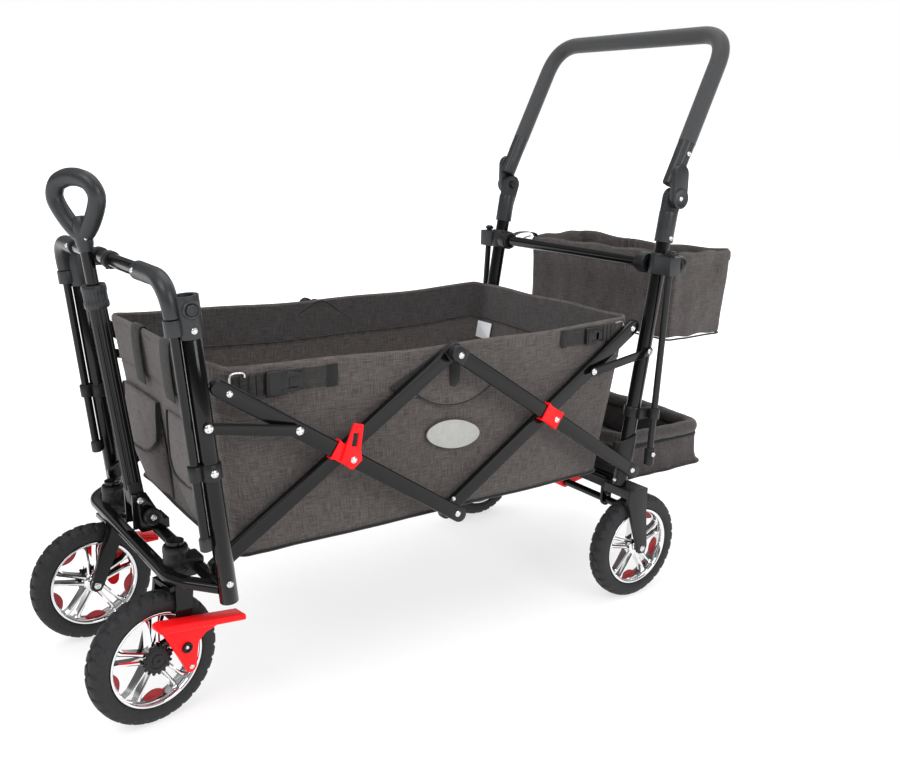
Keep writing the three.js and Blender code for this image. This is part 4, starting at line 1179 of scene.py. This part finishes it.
def round_outline(a0, a1, z0, z1, r=4, lean=0.0):
    """A rectangle with rounded corners; lean lifts its far end."""
    points = []
    for i, (ca, cz) in enumerate(((a1 - r, z1 - r), (a0 + r, z1 - r), (a0 + r, z0 + r), (a1 - r, z0 + r))):
        for k in range(5):
            t = radians(90 * i + 90 * k / 4)
            a = ca + r * cos(t)
            points.append((a, cz + r * sin(t) + lean * (a - a0) / max(1, a1 - a0)))
    return points


# ---- tub ----
def tub_rim(x, y):
    along = (y + 4) / 396
    side = 523 + 9 * along * along + 1.2 * sin(along * 9.0)
    front = 538 + 4 * cos(x / 217 * 1.4)
    rear = 533.5 + 1.2 * sin(x * 0.03)
    if x < -190:
        side += 7
    w_front, w_rear = clamp((-372 - y) / 24), clamp((y - 366) / 24)
    return side * (1 - w_front - w_rear) + front * w_front + rear * w_rear


def tub_wobble(x, y, z, nx, ny):
    """The cloth's slow waves and folds: strongest at the corners and low down, never far outwards."""
    low = clamp((520 - z) / 200)
    at_corner = exp(-((abs(x) - 217) ** 2 + (min(abs(y - 392), abs(y + 400))) ** 2) / 9000)
    slow = ripple(x * 0.004, y * 0.0065, z * 0.005, (3.1, 0.4, 7.7))
    folds = ripple(x * 0.021, y * 0.024, z * 0.006, (9.2, 5.5, 1.3))
    sag = -3.0 * sin(pi * clamp((z - 248) / 270)) if abs(nx) > 0.9 else 0
    return min(2.6, 5.5 * slow * (0.35 + low) + 3.0 * folds * (0.25 + 1.3 * at_corner) * (0.4 + 0.6 * low) + sag)


def tub():
    bag = Bag((213, -364, 342, 248), (217, -400, 392, 531), 20, 40, 78, tub_rim, tub_wobble)
    drops = [(0, -0.6), (1.2, 0.9), (4, 1.5), (12, 1.2), (24, 1.0), (38, 1.1), (52, 1.0), (64, 1.1), (71, 1.2),
             (74, 1.3), (75.4, 0.2), (76.6, -0.5), (78, 0), (84, 0)]
    drops += [(drop, 0) for drop in range(98, 243, 16)] + [(256, 0.4), (268, 0.6), (278, 0.2), (300, 0)]
    sewn(cloth_box("tub_cloth", bag, drops, 3.4, CANVAS, 5), "fabric", "tub")
    sewn(stitches("tub_stitches", [bag.line(drop=drop, out=out) for drop, out in ((71.5, 1.7), (79.5, 0.5), (8, 1.9))]))
    sewn(along_ring("tub_piping", bag.ring(z=250, out=1.2), ring_section(2.6, 10), LINING))
    # inside: the darker band under the rim, its seam and the pointed seam on the far wall
    sewn(cloth_band("tub_inner_band", bag, 2, 68, -4.6))
    sewn(along_ring("tub_inner_seam", bag.ring(drop=70, out=-5.0), ring_section(1.1, 8), LINING))
    knots = [at(-212.2, y, z) for y, z in ((-104, 472), (-54, 503), (-2, 530), (44, 502), (90, 472))]
    sewn(swept("tub_point_seam", smooth_line(knots, 4), ring_section(0.9, 8), LINING))
    tub_floor_mat()
    side_fittings()
    front_fittings()


def cloth_band(name, bag, top, bottom, out, thick=0.8):
    """A thin strip that covers a height range of the inside wall."""
    chain = [bag.ring(drop=top + (bottom - top) * k / 6, out=out) for k in range(7)]
    chain += [bag.ring(drop=drop, out=out + thick) for drop in (bottom, top)]
    return skinned(name, [[at(*p) for p in ring] for ring in chain], BAND_CLOTH, 60, along=True,
                   uv=lambda co: (co.x + co.y, co.z))


def tub_floor_mat():
    """The stiffened floor mat, in two leaves that meet where the floor folds."""
    n, m = 26, 18
    for i, (y0, y1) in enumerate(((-352, -14), (-8, 330))):
        rings = []
        for r in range(n + 1):
            top, low = [], []
            for c in range(m + 1):
                edge = min(c, m - c, r, n - r)
                puff = 6.0 * (1 - exp(-edge * 1.1)) - 1.6 * exp(-((c / m - 0.5) * m / 0.6) ** 2)
                x, y = -203 + 406 * c / m, y0 + (y1 - y0) * r / n
                top.append(at(x, y, 253.5 + puff))
                low.append(at(x, y, 252.6))
            rings.append(top + low[::-1])
        obj = skinned(f"floor_mat_{i + 1}", rings, BAND_CLOTH, 60, caps=True, uv=lambda co: (co.x, co.y))
        settle(obj, "front_frame", "fabric")
        gather(obj)


def buckle(name, side, a0, a1, z0, z1):
    """A side-release buckle seen from its face, between two heights."""
    mid, zm, h = (a0 + a1) / 2, (z0 + z1) / 2, (z1 - z0) / 2
    prong = [(mid, z0 + 3), (a1 - 12, z0 + 3), (a1 - 6, z0 + 7), (a1, z0 + 4), (a1, z1 - 4), (a1 - 6, z1 - 7),
             (a1 - 12, z1 - 3), (mid, z1 - 3)]
    parts = [(round_outline(a0, mid + 4, z0, z1, 3), 7.5, 1.4), (prong, 6.2, 1.2)]
    for arm in (h * 0.62, -h * 0.62):
        parts.append((round_outline(mid - 6, a1 - 8, zm + arm - 2.6, zm + arm + 2.6, 2), 8.4, 0.9))
    parts += [(round_outline(a0 + 3, a0 + 8, z0 + 3, z1 - 3, 1.5), 8.6, 0.8),
              (round_outline(mid + 6, a1 - 12, zm - h * 0.36, zm + h * 0.36, 2), 7.2, 0.8)]
    return join(name, [slab_on("part", outline, side * 220.6, side, thick, SATIN, bevel=bevel)
                       for outline, thick, bevel in parts])


def side_fittings():
    """What is sewn on the long walls: straps with buckles and hooks, the half-round patch, loop and badge."""
    webs = (("front", (-366, -206, 487, 517, 1), (-222, -204, 485, 519, 1), (-320, -262, 484, 520),
             (-352, -338, -327), (5, 4, 486, 518)),
            ("rear", (229, 356, 494, 523, 1, 3), (227, 240, 493, 524, 1), (280, 318, 494, 523),
             (328, 337, 346), (4, 3, 496, 525)))
    hooks = (("front", ((-372, 506), (-372, 519), (-366, 523), (-352, 522), (-350, 516))),
             ("rear", ((350, 526), (366, 527), (371, 523), (371, 512), (376, 510))))
    arc = [(10 + 118 * cos(radians(d)), 545 + 120 * sin(radians(d))) for d in range(217, 324, 6)]
    loop = [(-4, 500), (16, 500), (16, 466), (12, 457), (5, 455), (-2, 458), (-4, 468)]
    badge = [(9 + 50 * c * (1 + 0.04 * cos(2 * atan2(s, c))), 375 - 6 * c + 24 * s) for c, s in circle(1, 40)]
    for word, side in SIDES.items():
        def lay(name, outline, lift, thick, surface, bevel=0.4):
            sewn(slab_on(name, outline, side * (WALL_X + lift), side, thick, surface, bevel=bevel))
        for end, web, tip, clasp, folds, (before, after, *heights) in webs:
            lay(f"{end}_web_{word}", round_outline(*web), 0, 1.5, WEBBING)
            lay(f"{end}_web_end_{word}", round_outline(*tip), 1.4, 1.4, LINING)
            sewn(buckle(f"{end}_buckle_{word}", side, *clasp), "plastic")
            for a in folds:
                lay(f"{end}_fold_{word}_{abs(a)}", round_outline(a - before, a + after, *heights, 2), 1.4, 2.2,
                    WEBBING, 0.8)
        # the half-round patch is a second layer of cloth, with its seam and a loop for the link's pin
        lay(f"patch_{word}", arc + [(92, 500), (60, 514), (-40, 514), (-76, 500)], -1.6, 1.3, CANVAS)
        sewn(swept(f"patch_seam_{word}", [at(side * (WALL_X - 0.6), *p) for p in arc], ring_section(1.1, 8), LINING))
        sewn(stitches(f"patch_stitches_{word}", [[at(side * (WALL_X + 0.1), a, z + 2.5) for a, z in arc]]))
        lay(f"patch_loop_{word}", loop, 0.4, 2.0, LINING, 0.6)
        lay(f"diagonal_web_{word}", [(-114, 469), (-93, 452), (14, 505), (2, 531)], 0.2, 1.6, WEBBING)
        lay(f"badge_{word}", badge, -4.2, 2.6, BADGE_PRINT, 0.3)
        for end, knots in hooks:
            wire_line = smooth_line([at(side * (WALL_X + 4), *p) for p in knots], 5)
            sewn(swept(f"{end}_hook_{word}", wire_line, ring_section(1.5, 10), ZINC), "chrome")
    sewn(slab_on("inside_label", round_outline(-206, -160, 424, 458, 1), 369.5, -1, 0.9, LABEL_CLOTH, axis="y",
                 bevel=0.2, bow=lambda a, z: -(z - 441) * 0.177))


def front_wall_y(z):
    return -364 - 36 * (z - 248) / 283


def front_fittings():
    """Straps over the front rim, and two flap pockets."""
    for word, side in SIDES.items():
        x = side * 65
        top = tub_rim(x, -400) + 3.4
        path = [at(x, y, top + z) for y, z in ((-389, -62), (-391, -20), (-393.5, -3), (-399, 0.6), (-404.6, -3),
                                               (-405.6, -24), (-403, -60), (-399, -92))]
        sewn(swept(f"rim_loop_{word}", smooth_line(path, 5), flat_section(38, 1.6, 0.6), WEBBING,
                   aim=Vector((1, 0, 0))))
        pocket(word, side * 105, 81)


def cloth_panel(name, rows, columns, place, thick, offset):
    """A sheet of cloth; place gives a point for u from -1 to 1 and v from 0 to 1."""
    grid = [[place(c / columns * 2 - 1, r / rows) for c in range(columns + 1)] for r in range(rows + 1)]
    obj = skinned(name, grid, CANVAS, 80, around=False, uv=lambda co: (co.x, co.z))
    solid = obj.modifiers.new("thickness", "SOLIDIFY")
    solid.thickness = thick * MM
    solid.offset = offset
    return apply_modifiers(obj)


def pocket(word, middle, half):
    """A bellied pouch under a bound flap."""
    low, high, top = 260, 398, 428

    def pouch(u, v):
        z = low + (high - low) * v
        taper = 1 - 0.10 * (1 - v) ** 2
        belly = 21 * (1 - abs(u) ** 3) * sin(pi * min(1, 0.12 + 0.80 * (1 - v) + 0.02))
        belly += 1.6 * noise.noise(Vector((u * 2.4 + middle, v * 3.1, 4.2)))
        return at(middle + u * (half - 4) * taper, front_wall_y(z) - 1 - max(0, belly), z)

    def flap(u, v):
        z = top - (94 - 30 * abs(u) ** 3.2) * v
        stand = 3 + 19 * v ** 0.8 * (1 - 0.55 * abs(u) ** 4) + 1.2 * noise.noise(Vector((u * 2 + middle, v * 2, 8)))
        return at(middle + u * half * (1 - 0.06 * v * v), front_wall_y(z) - stand, z)
    rows, columns = 14, 24
    sewn(cloth_panel(f"pocket_{word}", 16, 22, pouch, 1.2, 1))
    sewn(cloth_panel(f"pocket_flap_{word}", rows, columns, flap, 1.8, 0))
    border = [flap(-1, r / rows) for r in range(rows)] + [flap(c / columns * 2 - 1, 1) for c in range(columns + 1)]
    border += [flap(1, r / rows) for r in range(rows - 1, -1, -1)]
    sewn(swept(f"flap_binding_{word}", border, flat_section(8, 3.4, 1.2), LINING, smooth=60, aim=Vector((0, 1, 0))))


# ---- basket and foot well ----
def basket_rim(x, y):
    back = clamp((y - 520) / 130)
    near = x / 207
    return 634 + 3 * near * (1 - back) + back * (2.5 - 7 * cos(near * 1.5) ** 2) + 1.5 * sin(y * 0.09 + x * 0.05)


def basket_wobble(x, y, z, nx, ny):
    low = clamp((640 - z) / 150)
    slow = ripple(x * 0.009, y * 0.012, z * 0.010, (1.7, 6.2, 2.9))
    folds = ripple(x * 0.030, y * 0.034, z * 0.012, (4.4, 8.1, 0.3))
    creases = abs(ripple(x * 0.017 + z * 0.014, y * 0.017 - z * 0.012, z * 0.004, (7, 2, 5)))
    bunch = exp(-((x + 60) / 26) ** 2) if ny > 0.9 else 0
    return 6.0 * slow * (0.3 + low) + 2.4 * folds - 3.4 * creases + 1.5 + 4 * bunch * sin(x * 0.35) * (1 - low)


def hung(piece, slot="fabric", *nodes):
    """A piece that hangs on the rear frame."""
    return settle(piece, "rear_frame", slot, *nodes)


def basket():
    bag = Bag((198, 512, 668, 471), (207, 510, 666, 636), 12, 64, 26, basket_rim, basket_wobble)
    drops = [(0, -0.8), (1.2, 1.2), (4, 2.6), (10, 3.0), (16, 2.6), (20, 1.2), (21.5, 0), (24, 0), (32, 0)]
    drops += [(drop, 0) for drop in range(42, 139, 12)] + [(150, 0.2), (160, 0)]
    # the basket's cloth is the darkened copy of the canvas: painted shade
    hung(cloth_box("basket_cloth", bag, drops, 3.0, BASKET_CANVAS_SHADED, 9), "fabric", "basket")
    hung(stitches("basket_stitches", [bag.line(drop=19, out=2.6)]))
    hung(along_ring("basket_piping", bag.ring(z=473, out=0.6), ring_section(1.9, 8), LINING))
    for word, side in SIDES.items():
        strap = [at(side * x, y, z) for x, y, z in ((199, 449, 634), (199, 470, 641), (200, 498, 641), (202, 516, 636),
                                                    (202, 524, 622))]
        hung(swept(f"basket_strap_{word}", smooth_line(strap, 6), flat_section(16, 1.6, 0.5), WEBBING,
                   aim=Vector((1, 0, 0))))
        hook = [at(side * 196, y, z) for y, z in ((452, 626), (468, 622), (484, 630), (500, 633))]
        hung(swept(f"basket_hook_{word}", smooth_line(hook, 6), ring_section(1.6, 10), ZINC), "chrome")


def well_wobble(x, y, z, nx, ny):
    low = clamp((270 - z) / 70)
    flare = 9 * max(0.0, (222 - z) / 26) ** 1.6
    folds = ripple(x * 0.026, y * 0.03, z * 0.01, (2.2, 1.1, 6.6))
    return min(9, flare - 7 * (1 - low) * 0.4 + 4.0 * folds * (0.3 + 0.7 * low) - 4)


def foot_well():
    bag = Bag((173, 430, 666, 197), (172, 432, 670, 290), 18, 50, 32, lambda x, y: 277, well_wobble)
    drops = [(0, 0), (2, 0.6), (6, 0.8), (12, 0.6), (18, 0.4), (24, 0.2), (31, 0), (38, 0), (46, 0), (54, 0), (61, 0),
             (68, 0), (74, 0.5), (79.5, 1)]
    # the foot well's cloth is the darkest copy of the canvas: painted shade under the basket
    hung(cloth_box("foot_well_cloth", bag, drops, 3.6, WELL_CANVAS_SHADED, 2), "fabric", "foot_well")
    pad_path = [at(x, y, 276 + 1.5 * sin(x * 0.03 + y * 0.02)) for x, y, _, _ in
                ring_places(164, 440, 661, 30, 26, 20)]

    def section(share):
        a = share * 2 * pi
        return [(c * r * MM, s * r * MM) for c, s, r in (
            (c, s, 13.0 + 1.5 * noise.noise(Vector((cos(a) * 9, sin(a) * 9, s * 0.8)))) for c, s in circle(1, 28))]
    up = Vector((0, 0, 1))
    # the pad is in the same darkened canvas: painted shade
    pad = hung(swept("foot_well_pad", pad_path, section, WELL_CANVAS_SHADED, closed=True, smooth=80, aim=up))
    hung(along_ring("well_zip_tape", bag.ring(z=258, out=0.6), flat_section(9, 1.2, 0.4), LINING, aim=up))
    hung(stitches("well_zip_teeth", [bag.line(z=258, out=1.3)], ZIP, 2.6, 1.6, 1.0))
    hung(slab_on("well_zip_pull", round_outline(452, 457, 238, 258, 2), 178, 1, 2.0, ZINC, bevel=0.5), "chrome")
    hung(along_ring("well_piping", bag.ring(z=200, out=1.0), ring_section(2.8, 10), LINING))


def remaining():
    """Every carried-over CAD part gets its finish."""
    for name, obj in frame["nodes"].items():
        surface = FINISH_OF_SLOT[SLOT_OF.get(name, "frame")]
        if not obj.data.materials:
            obj.data.materials.append(surface)
        for slot in obj.material_slots:
            slot.material = surface


camera()
studio()
wheels()
front_end()
chassis()
for caster_word, caster_side in SIDES.items():
    caster(caster_word, caster_side)
pull_handle()
links()
rear_end()
push_bar()
tub()
basket()
foot_well()
make_rivets()
remaining()
bpy.context.view_layer.update()
